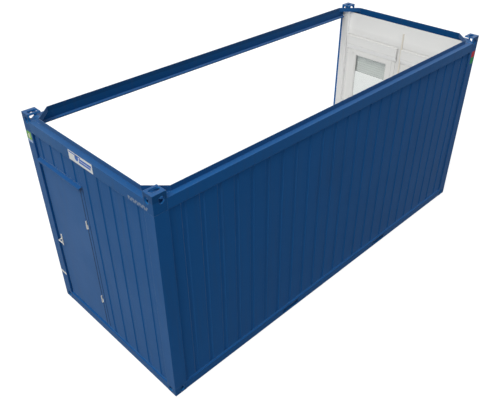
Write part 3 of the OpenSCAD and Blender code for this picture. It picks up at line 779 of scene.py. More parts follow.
# %% Turn a sheet into a piece
def make_piece(name, sheet, finish, body="container", rounding=0.0):
    """Rounds the sharp edges if asked, gives the piece its name and finish, and hangs it on its
    body.
    """
    bmesh.ops.recalc_face_normals(sheet, faces=sheet.faces[:])
    if rounding > 0.0:
        sharp = [edge for edge in sheet.edges
                 if edge.is_manifold and edge.calc_face_angle(0.0) > SHARP_ENOUGH]
        bmesh.ops.bevel(sheet, geom=sharp, offset=rounding, segments=2, profile=0.5,
                        affect="EDGES", clamp_overlap=True)
    for face in sheet.faces:
        face.smooth = True
    for edge in sheet.edges:
        edge.smooth = edge.is_manifold and edge.calc_face_angle(0.0) < FLAT_ENOUGH
    mesh = bpy.data.meshes.new(name)
    sheet.to_mesh(mesh)
    sheet.free()
    mesh.materials.append(finishes[finish].owner)
    piece = add_object(name, mesh)
    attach(piece, body)
    return piece


print("pieces can be made")

# %% Shapes that are turned and bent
def join_rings(sheet, rings, closed_ends=True):
    for first, second in zip(rings, rings[1:]):
        for i in range(len(first)):
            sheet.faces.new((first[i - 1], first[i], second[i], second[i - 1]))
    if closed_ends:
        sheet.faces.new(rings[0])
        sheet.faces.new(rings[-1])


def add_ring(sheet, middle, across, other, radius, sides):
    turns = [i * math.tau / sides for i in range(sides)]
    return [sheet.verts.new(middle + (across * math.cos(turn) + other * math.sin(turn)) * radius)
            for turn in turns]


def add_turned(sheet, place, axis, profile, sides=24):
    """The profile gives distances along the axis, each with its radius."""
    helper = UP if abs(axis.z) < 0.9 else TO_WINDOWS
    across = axis.cross(helper)
    join_rings(sheet, [add_ring(sheet, Vector(place) + axis * distance, across,
                                axis.cross(across), radius, sides)
                       for distance, radius in profile])


def add_bar(sheet, path, radii, sides=12, flat=1.0, up=UP):
    """A bar bent along a path; flat is how thick it is for its width."""
    points = [Vector(point) for point in path]
    rings = []
    for before, point, after, radius in zip(points[:1] + points, points, points[1:] + points[-1:],
                                            radii):
        along = (after - before).normalized()
        side = along.cross(up).normalized()
        rings.append(add_ring(sheet, point, side, side.cross(along) * flat, radius, sides))
    join_rings(sheet, rings)


SCREW_R, SCREW_HIGH = 0.0042, 0.0010
SCREW_SHARES = ((0.0, 1.0), (0.4, 0.96), (0.8, 0.72), (1.0, 0.30), (0.7, 0.18))


def screw_head(sheet, place, axis):
    """A low domed head with a round recess."""
    add_turned(sheet, place, axis, [(SCREW_HIGH * rise, SCREW_R * wide)
                                    for rise, wide in SCREW_SHARES], 16)


print("turning and bending ready")

# %% [markdown]
# ## Door furniture
# The outside lever is a bent bar on a turned neck, drawn to a slightly flattened, tapering grip.
# It sits on a long plate with round ends, which also carries the lock cylinder below and a fixing
# screw near each end. The same set is mirrored on the inside, and one square spindle joins both
# levers.

# %% Read the place of the door furniture
PLATE_LOW, PLATE_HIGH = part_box("handle_plates")
LEVER_LOW, LEVER_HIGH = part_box("lever_handle")
SPINDLE_Y = (PLATE_LOW.y + PLATE_HIGH.y) / 2.0
SPINDLE_Z = (LEVER_LOW.z + LEVER_HIGH.z) / 2.0
PLATE_WIDE = PLATE_HIGH.y - PLATE_LOW.y
PLATE_T = LEAF_LOW.x - PLATE_LOW.x
PLATE_STEP, PLATE_FACE = 0.0045, 0.006
PLATE_CHAMFER = 0.003
LEAF_FACES = ((LEAF_LOW.x, -1.0), (LEAF_HIGH.x, 1.0))
print("spindle at", round(SPINDLE_Y, 4), round(SPINDLE_Z, 4), "plate", round(PLATE_T, 4))

# %% Cut the plates with round ends and a bore for the spindle
BORE_R = 0.0068
END_STEPS = 10
SIDE_STEPS = 8


def round_ended(low_z, high_z, wide):
    """An outline in Y and Z: half a circle, a side, the other half circle, the other side."""
    radius = wide / 2.0
    points = []
    for way, from_z, to_z in ((1.0, high_z - radius, low_z + radius),
                              (-1.0, low_z + radius, high_z - radius)):
        for i in range(END_STEPS + 1):
            turn = math.pi * i / END_STEPS
            points.append((SPINDLE_Y + way * radius * math.cos(turn),
                           from_z + way * radius * math.sin(turn)))
        points += [(SPINDLE_Y - way * radius, from_z + (to_z - from_z) * i / SIDE_STEPS)
                   for i in range(1, SIDE_STEPS)]
    return points


def bored_plate(sheet, outline, near_x, far_x):
    """A flat plate within an outline, with the round bore for the spindle."""
    turns = [math.atan2(z - SPINDLE_Z, y - SPINDLE_Y) for y, z in outline]
    bore = [(SPINDLE_Y + BORE_R * math.cos(turn), SPINDLE_Z + BORE_R * math.sin(turn))
            for turn in turns]
    rings = [[sheet.verts.new((x, y, z)) for y, z in loop]
             for x, loop in ((near_x, outline), (near_x, bore), (far_x, bore), (far_x, outline))]
    join_rings(sheet, rings + rings[:1], closed_ends=False)


plates = bmesh.new()
for face_x, way in LEAF_FACES:
    for rim, near, far in ((0.0, THIN, PLATE_STEP), (PLATE_CHAMFER, PLATE_STEP, PLATE_FACE)):
        outline = round_ended(PLATE_LOW.z + rim, PLATE_HIGH.z - rim, PLATE_WIDE - 2.0 * rim)
        bored_plate(plates, outline, face_x + way * near, face_x + way * far)
door_plates = make_piece("door_plates", plates, "handle_metal", body="door")
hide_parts("handle_plates")
print("plates on the door")

# %% Screw the plates on and fit the lock
SCREW_INSET = 0.011
KEY_Z = SPINDLE_Z - 0.072
LOCK_HALF, LOCK_T, LOCK_PROUD = 0.005, 0.002, 0.0008
LOCK_FOOT_Z, LOCK_TOP_Z = KEY_Z - 0.021, KEY_Z - 0.006
LOCK_OUT = 0.004
LOCK_PROFILE = [(-0.003, 0.0095), (0.0, 0.0095), (0.001, 0.0090), (0.001, 0.0070),
                (0.0006, 0.0068)]
screws, lock = bmesh.new(), bmesh.new()
for face_x, way in LEAF_FACES:
    outward = TO_WINDOWS * way
    front_x = face_x + way * PLATE_FACE
    for z in (PLATE_LOW.z + SCREW_INSET, PLATE_HIGH.z - SCREW_INSET):
        screw_head(screws, (front_x, SPINDLE_Y, z), outward)
    add_turned(lock, (front_x, SPINDLE_Y, KEY_Z), outward, LOCK_PROFILE)
    lock_x = face_x + way * LOCK_OUT
    add_box(lock, (lock_x - LOCK_T, SPINDLE_Y - LOCK_HALF, LOCK_FOOT_Z),
            (lock_x + LOCK_T + LOCK_PROUD * way, SPINDLE_Y + LOCK_HALF, LOCK_TOP_Z))
make_piece("plate_screws", screws, "plated_steel", body="door")
make_piece("lock_cylinder", lock, "plated_steel", body="door", rounding=0.0004)
print("screws and lock on the door")

# %% Bend the levers
GRIP_R = 0.0078
GRIP_TAPER, GRIP_TIP = 0.10, 0.55
GRIP_BOW = 0.0012
GRIP_FLAT = 0.92
GRIP_END_Y = LEVER_LOW.y + 0.001
BEND = 0.011
BEND_STEPS = 6
GRIP_STEPS = 14
NECK_PROFILE = [(0.0, 0.0125), (0.002, 0.0125), (0.0032, 0.0105), (0.006, 0.0080)]
NECK_LIFT, NECK_SHORT = 0.0004, 0.010
SPINDLE_HALF, SPINDLE_PAST = 0.0035, 0.020
levers = bmesh.new()
for face_x, way in LEAF_FACES:
    reach_x = LEVER_LOW.x + GRIP_R if way < 0 else LEVER_HIGH.x - GRIP_R
    neck = abs(reach_x - face_x) - PLATE_T - NECK_SHORT
    add_turned(levers, (face_x + way * (PLATE_T + NECK_LIFT), SPINDLE_Y, SPINDLE_Z),
               TO_WINDOWS * way, NECK_PROFILE + [(neck, GRIP_R)])
    path, radii = [], []
    for i in range(BEND_STEPS + 1):
        turn = math.pi / 2.0 * i / BEND_STEPS
        path.append((reach_x - way * BEND * (1.0 - math.sin(turn)),
                     SPINDLE_Y - BEND * (1.0 - math.cos(turn)), SPINDLE_Z))
        radii.append(GRIP_R)
    grip_long = GRIP_END_Y - (SPINDLE_Y - BEND)
    for i in range(1, GRIP_STEPS + 1):
        share = i / GRIP_STEPS
        path.append((reach_x, SPINDLE_Y - BEND + grip_long * share,
                     SPINDLE_Z + GRIP_BOW * math.sin(math.pi * share)))
        radii.append(GRIP_R * (1.0 - GRIP_TAPER * share))
    radii[-1] = GRIP_R * GRIP_TIP
    add_bar(levers, path, radii, 16, GRIP_FLAT)
add_box(levers, (LEAF_LOW.x - SPINDLE_PAST, SPINDLE_Y - SPINDLE_HALF, SPINDLE_Z - SPINDLE_HALF),
        (LEAF_HIGH.x + SPINDLE_PAST, SPINDLE_Y + SPINDLE_HALF, SPINDLE_Z + SPINDLE_HALF))
door_levers = make_piece("door_levers", levers, "handle_metal", body="lever")
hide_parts("lever_handle")
print("levers bent:", len(door_levers.data.polygons), "faces")

# %% [markdown]
# ## Hinges and seal of the door
# Each hinge is screwed to the frame and to the leaf with three countersunk screws a side, and its
# knuckles end in small turned caps. A dark rubber strip lies in the gap behind the leaf's edge: it
# belongs to the frame, so it stays behind when the door opens.

# %% Screw on the hinges
HINGE_HALF = 0.0575
HINGE_MIDDLES = (FRAME_HINGE_LOW.z + HINGE_HALF, LEAF_HINGE_HIGH.z - HINGE_HALF)
SCREW_PLACES = ((0.029, 0.012), (0.020, 0.029), (0.029, 0.046))
WING_FACE_X = LEAF_LOW.x - 0.0033
KNUCKLE_X = FRAME_HINGE_LOW.x + 0.009
CAP_PROFILE = [(0.0, 0.0088), (0.0012, 0.0088), (0.0022, 0.0072), (0.0030, 0.0040)]
for name, way, body in (("hinge_screws_frame", -1.0, "container"),
                        ("hinge_screws_leaf", 1.0, "door")):
    heads = bmesh.new()
    for middle in HINGE_MIDDLES:
        for out, rise in SCREW_PLACES:
            screw_head(heads, (WING_FACE_X, HINGE_Y + way * out, middle + way * rise), -TO_WINDOWS)
    make_piece(name, heads, "frame_paint", body=body)
caps = bmesh.new()
for middle in HINGE_MIDDLES:
    add_turned(caps, (KNUCKLE_X, HINGE_Y, middle - HINGE_HALF), -UP, CAP_PROFILE, 20)
make_piece("hinge_caps", caps, "plated_steel")
print("hinge screws and caps on")

# %% Lay the seal of the door
SEAL_X = LEAF_HIGH.x + 0.007
SEAL_T = 0.0018
SEAL_WIDE = 0.010
SEAL_INSET, SEAL_FOOT = 0.004, 0.020
seal = bmesh.new()
low_y, high_y = LEAF_LOW.y + SEAL_INSET, LEAF_HIGH.y - SEAL_INSET
foot_z, top_z = LEAF_LOW.z + SEAL_FOOT, LEAF_HIGH.z - SEAL_INSET
for low, high in (((low_y, foot_z), (low_y + SEAL_WIDE, top_z)),
                  ((high_y - SEAL_WIDE, foot_z), (high_y, top_z)),
                  ((low_y + SEAL_WIDE, top_z - SEAL_WIDE), (high_y - SEAL_WIDE, top_z))):
    add_box(seal, (SEAL_X - SEAL_T, *low), (SEAL_X + HAIR, *high))
make_piece("door_seal", seal, "rubber", rounding=0.0006)
print("door seal laid")

# %% [markdown]
# ## Seams of the outer walls
# Where a wall panel meets a post or a rail, the joint is filled with sealant and painted over. On
# the real thing it is a soft concave bead a few millimetres wide that catches a thin line of
# light. Below the roof rails a narrow folded return closes the gap between the rail and the panel.

# %% Draw a bead round a wall
BEAD = 0.007
BEAD_STEPS = 3
RETURN_T = 0.004
WALL_HIGH = WEB_Z - BASE_TOP - RETURN_T
END_FACE_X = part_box("panel_window_end")[1].x
JAMB_LOW, JAMB_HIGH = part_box("door_frame")


def corner_bead(start, along, first, second):
    """A hollow fillet along a line, between the two faces that the line's corner joins."""
    outline = [start]
    for i in range(BEAD_STEPS + 1):
        turn = math.pi / 2.0 * i / BEAD_STEPS
        outline.append(start + first * BEAD * (1.0 - math.sin(turn))
                       + second * BEAD * (1.0 - math.cos(turn)))
    add_prism(beads, outline, along)


def wall_beads(x, y, across, wide, out, foot=0.0):
    """Beads up both sides, along the foot and under the rail of a wall that starts at a post.
    Where a door stands at the far side, only the length of the foot is sealed beside it."""
    corner, high = Vector((x, y, BASE_TOP)), UP * WALL_HIGH
    corner_bead(corner, high, across, out)
    if not foot:
        corner_bead(corner + across * wide, high, -across, out)
    corner_bead(corner, across * (foot or wide), UP, out)
    corner_bead(corner + high, across * wide, -UP, out)


beads = bmesh.new()
wall_beads(-POST_IN_X, PANEL_FACE_Y, TO_WINDOWS, 2.0 * POST_IN_X, -TO_OPEN)
wall_beads(END_FACE_X, -POST_IN_Y, TO_OPEN, 2.0 * POST_IN_Y, TO_WINDOWS)
wall_beads(-END_FACE_X, -POST_IN_Y, TO_OPEN, 2.0 * POST_IN_Y, -TO_WINDOWS,
           foot=JAMB_LOW.y + POST_IN_Y)
make_piece("wall_beads", beads, "frame_paint")
print("beads drawn")

# %% Lay painted shade in the joint beside the door
JOINT_WIDE = 0.014
JOINT_PROUD = 0.0006
joint_y = JAMB_LOW.y - THIN
joint = bmesh.new()
add_box(joint, (-END_FACE_X - JOINT_PROUD, joint_y - JOINT_WIDE, BASE_TOP + 2.0 * HAIR),
        (-END_FACE_X + JOINT_PROUD, joint_y, JAMB_HIGH.z))
# The joint strip is deep navy painted shade, with the dust and skin of the rubber finish.
dusty_rubber("joint_shade", GAP_SHADE_NAVY)
make_piece("jamb_joint", joint, "joint_shade", rounding=0.0003)
print("joint filled")

# %% Fold the returns under the roof rails
WEB_T = 0.004
LAP = 0.001
returns = bmesh.new()
low_z, high_z = WEB_Z + 2.0 * HAIR, WEB_Z + RETURN_T
add_box(returns, (-POST_IN_X + 2.0 * HAIR, -SIDE_Y + WEB_T - LAP, low_z),
        (POST_IN_X - 2.0 * HAIR, PANEL_FACE_Y - THIN, high_z))
for end in (-1.0, 1.0):
    inner, outer = sorted((end * (END_X - WEB_T + LAP), end * (END_FACE_X + THIN)))
    add_box(returns, (inner, -POST_IN_Y + 2.0 * HAIR, low_z),
            (outer, POST_IN_Y - 2.0 * HAIR, high_z))
make_piece("rail_returns", returns, "frame_paint")
print("returns folded")

# %% [markdown]
# ## Plates, marks and rivets
# The name plate is a printed sheet held by four rivets. Its print is reduced to plain blocks of
# blue. The rail beside it carries a row of small pale marks, kept as blank bars, and the strap on
# the post is held by two bolts. A shallow sticker on the post above the door is green over a paler
# foot.

# %% Mix the inks
def ink(name, base, roughness=0.4):
    net = start_material(name, base, roughness, gloss=0.4)
    faded = tuple(part + 0.02 for part in shade(base, 0.85))
    recolour(net, faded, noise(net, 22.0, 4.0, 0.40, 0.75), 0.35)
    dimples(net, 260.0, 0.0001)


ink("print_blue", (0.020, 0.15, 0.62))
ink("print_green", (0.20, 0.50, 0.07))
ink("print_pale", (0.42, 0.54, 0.80))
ink("print_white", (0.80, 0.82, 0.66))
ink("mark_grey", (0.44, 0.48, 0.52), 0.6)
ink("plate_enamel", (0.88, 0.90, 0.92), 0.3)
print("inks mixed")

# %% Print the name plate as plain blocks and rivet it
PRINT_T = THIN
PRINT_BLOCKS = ((0.03, 0.80, 0.52, 0.91), (0.46, 0.54, 0.96, 0.75), (0.44, 0.27, 0.92, 0.47))
DISC_ACROSS, DISC_RISE, DISC_R = 0.345, 0.60, 0.31
RIVET_INSET = 0.010
RIVET_PROFILE = [(-0.0005, 0.0032), (0.0004, 0.0032), (0.0011, 0.0024), (0.0014, 0.0010)]
NAME_LOW, NAME_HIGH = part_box("name_plate")
NAME_TALL = NAME_HIGH.z - NAME_LOW.z
dress("plate_enamel", "name_plate")


def on_plate(across, rise, lift=0.0):
    """A place given as shares of the plate's width, from the door side, and of its height."""
    return (NAME_LOW.x - lift, NAME_HIGH.y - (NAME_HIGH.y - NAME_LOW.y) * across,
            NAME_LOW.z + NAME_TALL * rise)


blocks, rivets = bmesh.new(), bmesh.new()
for left, bottom, right, top in PRINT_BLOCKS:
    corners = ((left, bottom), (right, bottom), (right, top), (left, top))
    add_prism(blocks, [on_plate(*corner) for corner in corners], (-PRINT_T, 0.0, 0.0))
add_turned(blocks, on_plate(DISC_ACROSS, DISC_RISE, PRINT_T), TO_WINDOWS,
           [(0.0, DISC_R * NAME_TALL), (PRINT_T, DISC_R * NAME_TALL)], 32)
make_piece("name_plate_print", blocks, "print_blue")
for y in (NAME_LOW.y + RIVET_INSET, NAME_HIGH.y - RIVET_INSET):
    for z in (NAME_LOW.z + RIVET_INSET, NAME_HIGH.z - RIVET_INSET):
        add_turned(rivets, (NAME_LOW.x, y, z), -TO_WINDOWS, RIVET_PROFILE, 14)
make_piece("name_plate_rivets", rivets, "plated_steel")
print("name plate printed and riveted")

# %% Put the marks on the rail
MARK_LOW_Z = WEB_Z + 0.012
MARK_HIGH = 0.042
MARK_PITCH = 0.0285
MARK_BAR = 0.0065
MARK_STEP = 0.0115
MARK_COUNT = 11
MARK_SHORT = ((0.45, 1.0), (0.0, 0.55))
FIRST_MARK_Y = -0.820


def end_patch(sheet, low_y, low_z, high_y, high_z):
    """A thin patch on the outer face of the door end."""
    add_box(sheet, (-END_X - PRINT_T, low_y, low_z), (-END_X + HAIR, high_y, high_z))


marks = bmesh.new()
for i in range(MARK_COUNT):
    mark_y = FIRST_MARK_Y - i * MARK_PITCH
    for start_y, (low, high) in ((mark_y, (0.0, 1.0)), (mark_y - MARK_STEP, MARK_SHORT[i % 2])):
        end_patch(marks, start_y - MARK_BAR, MARK_LOW_Z + MARK_HIGH * low, start_y,
                  MARK_LOW_Z + MARK_HIGH * high)
make_piece("rail_marks", marks, "mark_grey")
print("marks on")

# %% Put the sticker on the post and bolt the strap
STICKER_LOW_Y, STICKER_HIGH_Y = SIDE_Y - 0.118, SIDE_Y - 0.010
STICKER_LOW_Z, STICKER_HIGH_Z = WEB_Z - 0.150, WEB_Z - 0.012
STICKER_SPLIT = STICKER_LOW_Z + 0.036
FIELD_LOW_Y, FIELD_HIGH_Y = STICKER_LOW_Y + 0.036, STICKER_HIGH_Y - 0.030
FIELD_LOW_Z, FIELD_HIGH_Z = STICKER_SPLIT + 0.018, STICKER_HIGH_Z - 0.026
BOLT_INSET = 0.020
BOLT_PROFILE = [(-0.0005, 0.0085), (0.0010, 0.0085), (0.0010, 0.0065), (0.0055, 0.0065),
                (0.0062, 0.0055)]
STRAP_LOW, STRAP_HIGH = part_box("post_strap")
lower, middle, upper, bolts = bmesh.new(), bmesh.new(), bmesh.new(), bmesh.new()
end_patch(lower, STICKER_LOW_Y, STICKER_LOW_Z, STICKER_HIGH_Y, STICKER_SPLIT)
add_box(middle, (-END_X - 2.0 * PRINT_T, FIELD_LOW_Y, FIELD_LOW_Z),
        (-END_X - PRINT_T * 0.5, FIELD_HIGH_Y, FIELD_HIGH_Z))
end_patch(upper, STICKER_LOW_Y, STICKER_SPLIT, STICKER_HIGH_Y, STICKER_HIGH_Z)
make_piece("post_sticker_pale", lower, "print_pale")
make_piece("post_sticker_middle", middle, "print_white")
make_piece("post_sticker_green", upper, "print_green")
for y in (STRAP_LOW.y + BOLT_INSET, STRAP_HIGH.y - BOLT_INSET):
    add_turned(bolts, (STRAP_LOW.x, y, (STRAP_LOW.z + STRAP_HIGH.z) / 2.0), -TO_WINDOWS,
               BOLT_PROFILE, 6)
make_piece("strap_bolts", bolts, "plated_steel")
print("sticker and bolts on")

# %% [markdown]
# ## Windows
# Each window is a plastic frame with one sash. The glass lies on a grey gasket and is held on the
# room side by a bevelled bead. A lever handle sits half way up the sash, two hinges are covered by
# white caps, and outside a folded aluminium sill throws the rain off the wall.

# %% Read the places of the windows
WIN_LOW, WIN_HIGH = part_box("window_frames")
WINDOW_HALF = 0.488
WINDOW_MIDDLES = (WIN_LOW.y + WINDOW_HALF, WIN_HIGH.y - WINDOW_HALF)
PANE_HALF = GLASS_HIGH.y - WINDOW_MIDDLES[1]
ROOM_X, OUT_X = GLASS_LOW.x, GLASS_HIGH.x
SASH_X = WIN_LOW.x
print("windows at", [round(v, 3) for v in WINDOW_MIDDLES], "pane", round(2.0 * PANE_HALF, 3),
      "sash face", round(SASH_X, 4), "glass", round(ROOM_X, 4), round(OUT_X, 4))

# %% Lay beads and gaskets round the panes
BEAD_WIDE, OUTER_WIDE = 0.016, 0.012
BEAD_LIP = 0.004
BEAD_BACK = 0.003
OUTER_DEEP = 0.016
GASKET_WIDE, GASKET_T, GASKET_GAP = 0.0028, 0.0012, 0.0001
ROOM_BEAD = [(HAIR, SASH_X + BEAD_BACK), (HAIR, ROOM_X - THIN), (BEAD_WIDE, ROOM_X - THIN),
             (BEAD_WIDE, ROOM_X - BEAD_LIP), (BEAD_WIDE * 0.5, SASH_X + BEAD_LIP),
             (BEAD_LIP, SASH_X + BEAD_BACK)]
OUTER_BEAD = [(HAIR, OUT_X + THIN), (HAIR, OUT_X + OUTER_DEEP), (BEAD_LIP, OUT_X + OUTER_DEEP),
              (OUTER_WIDE, OUT_X + BEAD_LIP), (OUTER_WIDE, OUT_X + THIN)]


def mitred_frame(sheet, middle_y, section):
    """A frame swept round a pane. The section gives insets from its edge and places along X."""
    rings = []
    for across, rise in ((-1, -1), (1, -1), (1, 1), (-1, 1)):
        rings.append([sheet.verts.new((x, middle_y + across * (PANE_HALF - inset),
                                       GLASS_HIGH.z - inset if rise > 0 else GLASS_LOW.z + inset))
                      for inset, x in section])
    join_rings(sheet, rings + rings[:1], closed_ends=False)


glazing_beads, gaskets = bmesh.new(), bmesh.new()
for middle in WINDOW_MIDDLES:
    mitred_frame(glazing_beads, middle, ROOM_BEAD)
    mitred_frame(glazing_beads, middle, OUTER_BEAD)
    for inset, near, far in ((BEAD_WIDE, ROOM_X - GASKET_T, ROOM_X - GASKET_GAP),
                             (OUTER_WIDE, OUT_X + GASKET_GAP, OUT_X + GASKET_T)):
        mitred_frame(gaskets, middle, [(inset + HAIR, near), (inset + HAIR, far),
                                       (inset + GASKET_WIDE, far), (inset + GASKET_WIDE, near)])
make_piece("glazing_beads", glazing_beads, "white_plastic")
# The gaskets are a pale grey that also lightens the shaded edge of the pane, as painted light.
dusty_rubber("gasket_grey", grey(0.66))
make_piece("glass_gaskets", gaskets, "gasket_grey")
print("beads and gaskets round", len(WINDOW_MIDDLES), "panes")

# %% Fit handles and hinge caps to the sashes
HANDLE_BACK_X = SASH_X - 0.009
HANDLE_ASIDE, HANDLE_HALF, HANDLE_TALL = 0.032, 0.014, 0.033
HANDLE_PROFILE = [(-0.002, 0.0105), (0.004, 0.0105), (0.012, 0.0085), (0.024, 0.0085)]
HANDLE_PATH = ((0.033, 0.010), (0.037, 0.0), (0.038, -0.020), (0.036, -0.060), (0.035, -0.100),
               (0.034, -0.112))
HANDLE_RADII = [0.0080, 0.0095, 0.0095, 0.0088, 0.0080, 0.0055]
CAP_SHAPE = [(0.0, 0.0045), (0.0012, 0.0065), (0.066, 0.0065), (0.0675, 0.0045)]
CAP_ASIDE = 0.052
CAP_X = SASH_X - 0.007
HANDLE_Z = (GLASS_LOW.z + GLASS_HIGH.z) / 2.0
CAP_Z = (GLASS_LOW.z - 0.044, GLASS_HIGH.z - 0.024)
handles, caps = bmesh.new(), bmesh.new()
for middle, way in zip(WINDOW_MIDDLES, (1.0, -1.0)):
    y, z = middle + way * (PANE_HALF + HANDLE_ASIDE), HANDLE_Z
    add_box(handles, (HANDLE_BACK_X, y - HANDLE_HALF, z - HANDLE_TALL),
            (SASH_X - HAIR, y + HANDLE_HALF, z + HANDLE_TALL))
    add_turned(handles, (HANDLE_BACK_X, y, z), -TO_WINDOWS, HANDLE_PROFILE, 18)
    add_bar(handles, [(SASH_X - out, y, z + rise) for out, rise in HANDLE_PATH], HANDLE_RADII, 14,
            up=TO_OPEN)
    for cap_z in CAP_Z:
        add_turned(caps, (CAP_X, middle - way * (PANE_HALF + CAP_ASIDE), cap_z), UP, CAP_SHAPE, 18)
make_piece("window_handles", handles, "white_plastic", rounding=0.0015)
make_piece("window_hinge_caps", caps, "white_plastic")
print("handles and hinge caps fitted")

# %% Fold the outside sills
SILL_X = END_X - 0.0005
WALL_X = WIN_HIGH.x + THIN
SILL_IN_X = SILL_X - 0.002
SILL_SECTION = ((WALL_X, 0.030), (SILL_X, 0.021), (SILL_X, -0.004), (SILL_IN_X, -0.004),
                (SILL_IN_X, 0.019), (WALL_X, 0.028))
UPTURN = 0.003
UPTURN_Z = (WIN_LOW.z + 0.0285, WIN_LOW.z + 0.034)
sills = bmesh.new()
for middle in WINDOW_MIDDLES:
    add_prism(sills, [(x, middle - WINDOW_HALF, WIN_LOW.z + rise) for x, rise in SILL_SECTION],
              TO_OPEN * 2.0 * WINDOW_HALF)
    for end in (-1.0, 1.0):
        low_y, high_y = sorted((middle + end * WINDOW_HALF, middle + end * (WINDOW_HALF - UPTURN)))
        add_box(sills, (WALL_X, low_y, UPTURN_Z[0]), (SILL_X, high_y, UPTURN_Z[1]))
make_piece("window_sills", sills, "plated_steel")
print("sills folded")

# %% [markdown]
# ## Roller shutters
# The curtain of a roller shutter is a chain of slim hollow slats, each slightly domed outward and
# hooked into the next, so that a thin groove shows between them on both faces. It ends in a
# heavier bar with a rubber lip. The curtain runs in two guides and disappears into the box over
# the window.

# %% Chain the slats
SLAT_GAP = 0.0065
SLAT_STEPS = 5
SLAT_EDGE = 0.0030
DOME_OUT, DOME_IN = 0.0030, 0.0022
HOOK_HALF, HOOK_BITE = 0.0012, 0.002
LAST_SLAT = 0.004
BAR_LOW_Z, BAR_TOP_Z = CURTAIN_LOW.z + 0.006, CURTAIN_LOW.z + BAR_HIGH - 0.001
LIP_R, LIP_Z = 0.0033, CURTAIN_LOW.z + 0.0035
CURTAIN_HALF = CURTAIN_HIGH.y - WINDOW_MIDDLES[1]
CURTAIN_X = (CURTAIN_LOW.x + CURTAIN_HIGH.x) / 2.0


def slat_section(low_z, high_z):
    """One slat seen from its end, domed a little on both faces."""
    front, back = [], []
    for i in range(SLAT_STEPS + 1):
        z = low_z + (high_z - low_z) * i / SLAT_STEPS
        dome = math.sin(math.pi * i / SLAT_STEPS)
        front.append((CURTAIN_HIGH.x - SLAT_EDGE + DOME_OUT * dome, z))
        back.append((CURTAIN_LOW.x + SLAT_EDGE - DOME_IN * dome, z))
    return front + back[::-1]


slats, bars, lips = bmesh.new(), bmesh.new(), bmesh.new()
for middle in WINDOW_MIDDLES:
    low_y, high_y = middle - CURTAIN_HALF, middle + CURTAIN_HALF
    z = CURTAIN_LOW.z + BAR_HIGH
    while z < CURTAIN_HIGH.z - LAST_SLAT:
        top = min(z + SLAT_PITCH - SLAT_GAP, CURTAIN_HIGH.z)
        add_prism(slats, [(x, low_y, level) for x, level in slat_section(z, top)],
                  TO_OPEN * 2.0 * CURTAIN_HALF)
        if top < CURTAIN_HIGH.z:
            add_box(slats, (CURTAIN_X - HOOK_HALF, low_y, top - HOOK_BITE),
                    (CURTAIN_X + HOOK_HALF, high_y, top + SLAT_GAP + HOOK_BITE))
        z += SLAT_PITCH
    add_box(bars, (CURTAIN_LOW.x + THIN, low_y, BAR_LOW_Z),
            (CURTAIN_HIGH.x - THIN, high_y, BAR_TOP_Z))
    add_bar(lips, [(CURTAIN_X, low_y, LIP_Z), (CURTAIN_X, high_y, LIP_Z)], [LIP_R, LIP_R])
shutter_slats = make_piece("shutter_slat_chain", slats, "shutter_slats")
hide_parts("shutter_curtains")
make_piece("shutter_end_bars", bars, "shutter_slats", rounding=0.0012)
make_piece("shutter_lips", lips, "rubber")
print("slats chained over", round(CURTAIN_HIGH.z - CURTAIN_LOW.z, 3), "m")

# %% Trim the shutter boxes
BOX_WIDE = 1.020
BOX_ENDS = [sorted((way * BOX_HIGH.y, way * (BOX_HIGH.y - BOX_WIDE))) for way in (-1.0, 1.0)]
TRIM_WIDE = 0.022
END_TRIM = (BOX_LOW.z + 0.0005, BOX_HIGH.z - 0.0005, 0.0018)
LONG_TRIMS = ((BOX_LOW.z + 0.014, BOX_LOW.z + 0.0165, 0.0015),
              (BOX_HIGH.z - 0.0165, BOX_HIGH.z - 0.0145, 0.0012))
SLOPE_HIGH, SLOPE_INSET = 0.080, 0.003
SLOPE_X, SLOPE_TOP_Z = SASH_X + 2.0 * HAIR, BOX_LOW.z + 2.0 * HAIR
SLOPE_SECTION = ((BOX_LOW.x + 0.001, SLOPE_TOP_Z), (SLOPE_X, BOX_LOW.z - SLOPE_HIGH),
                 (SLOPE_X, SLOPE_TOP_Z))
trims, slopes = bmesh.new(), bmesh.new()


def trim(low_y, high_y, low_z, high_z, proud):
    """A flat strip on the room side of a box, standing a little proud of it."""
    add_box(trims, (BOX_LOW.x - proud, low_y, low_z), (BOX_LOW.x - HAIR, high_y, high_z))


for low_y, high_y in BOX_ENDS:
    for end_y in (low_y, high_y - TRIM_WIDE):
        trim(end_y, end_y + TRIM_WIDE, *END_TRIM)
    for place in LONG_TRIMS:
        trim(low_y + TRIM_WIDE, high_y - TRIM_WIDE, *place)
    add_prism(slopes, [(x, low_y + SLOPE_INSET, z) for x, z in SLOPE_SECTION],
              TO_OPEN * (high_y - low_y - 2.0 * SLOPE_INSET))
make_piece("shutter_box_trims", trims, "box_white", rounding=0.0005)
# The sloped board under each box is near white, as painted light in the shade under the box.
white_finish("slope_lit_white", grey(0.97), 0.45, 0.0002)
make_piece("shutter_box_slopes", slopes, "slope_lit_white", rounding=0.0006)
print("boxes trimmed")

# %% [markdown]
# ## Room
# White skirting runs round the foot of the lined walls. The boards of the lining meet under narrow
# cover strips, and the floor sheet is welded along three seams across the room. Clips hold the
# cable duct every half metre, and it ends in a small cap.

# %% Fit the skirting
LINING_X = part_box("lining_window_end")[0].x
LINING_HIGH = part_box("lining_closed_side")[1]
DOOR_LINING_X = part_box("lining_beside_door")[1].x
SKIRT_HIGH, SKIRT_T = 0.060, 0.010
SKIRT_SECTION = ((0.0, 0.0), (SKIRT_T, 0.0), (SKIRT_T, SKIRT_HIGH - 0.012), (0.0045, SKIRT_HIGH),
                 (0.0, SKIRT_HIGH))
END_GAP = 0.001
FOOT_Z = FLOOR_Z + HAIR
skirting = bmesh.new()


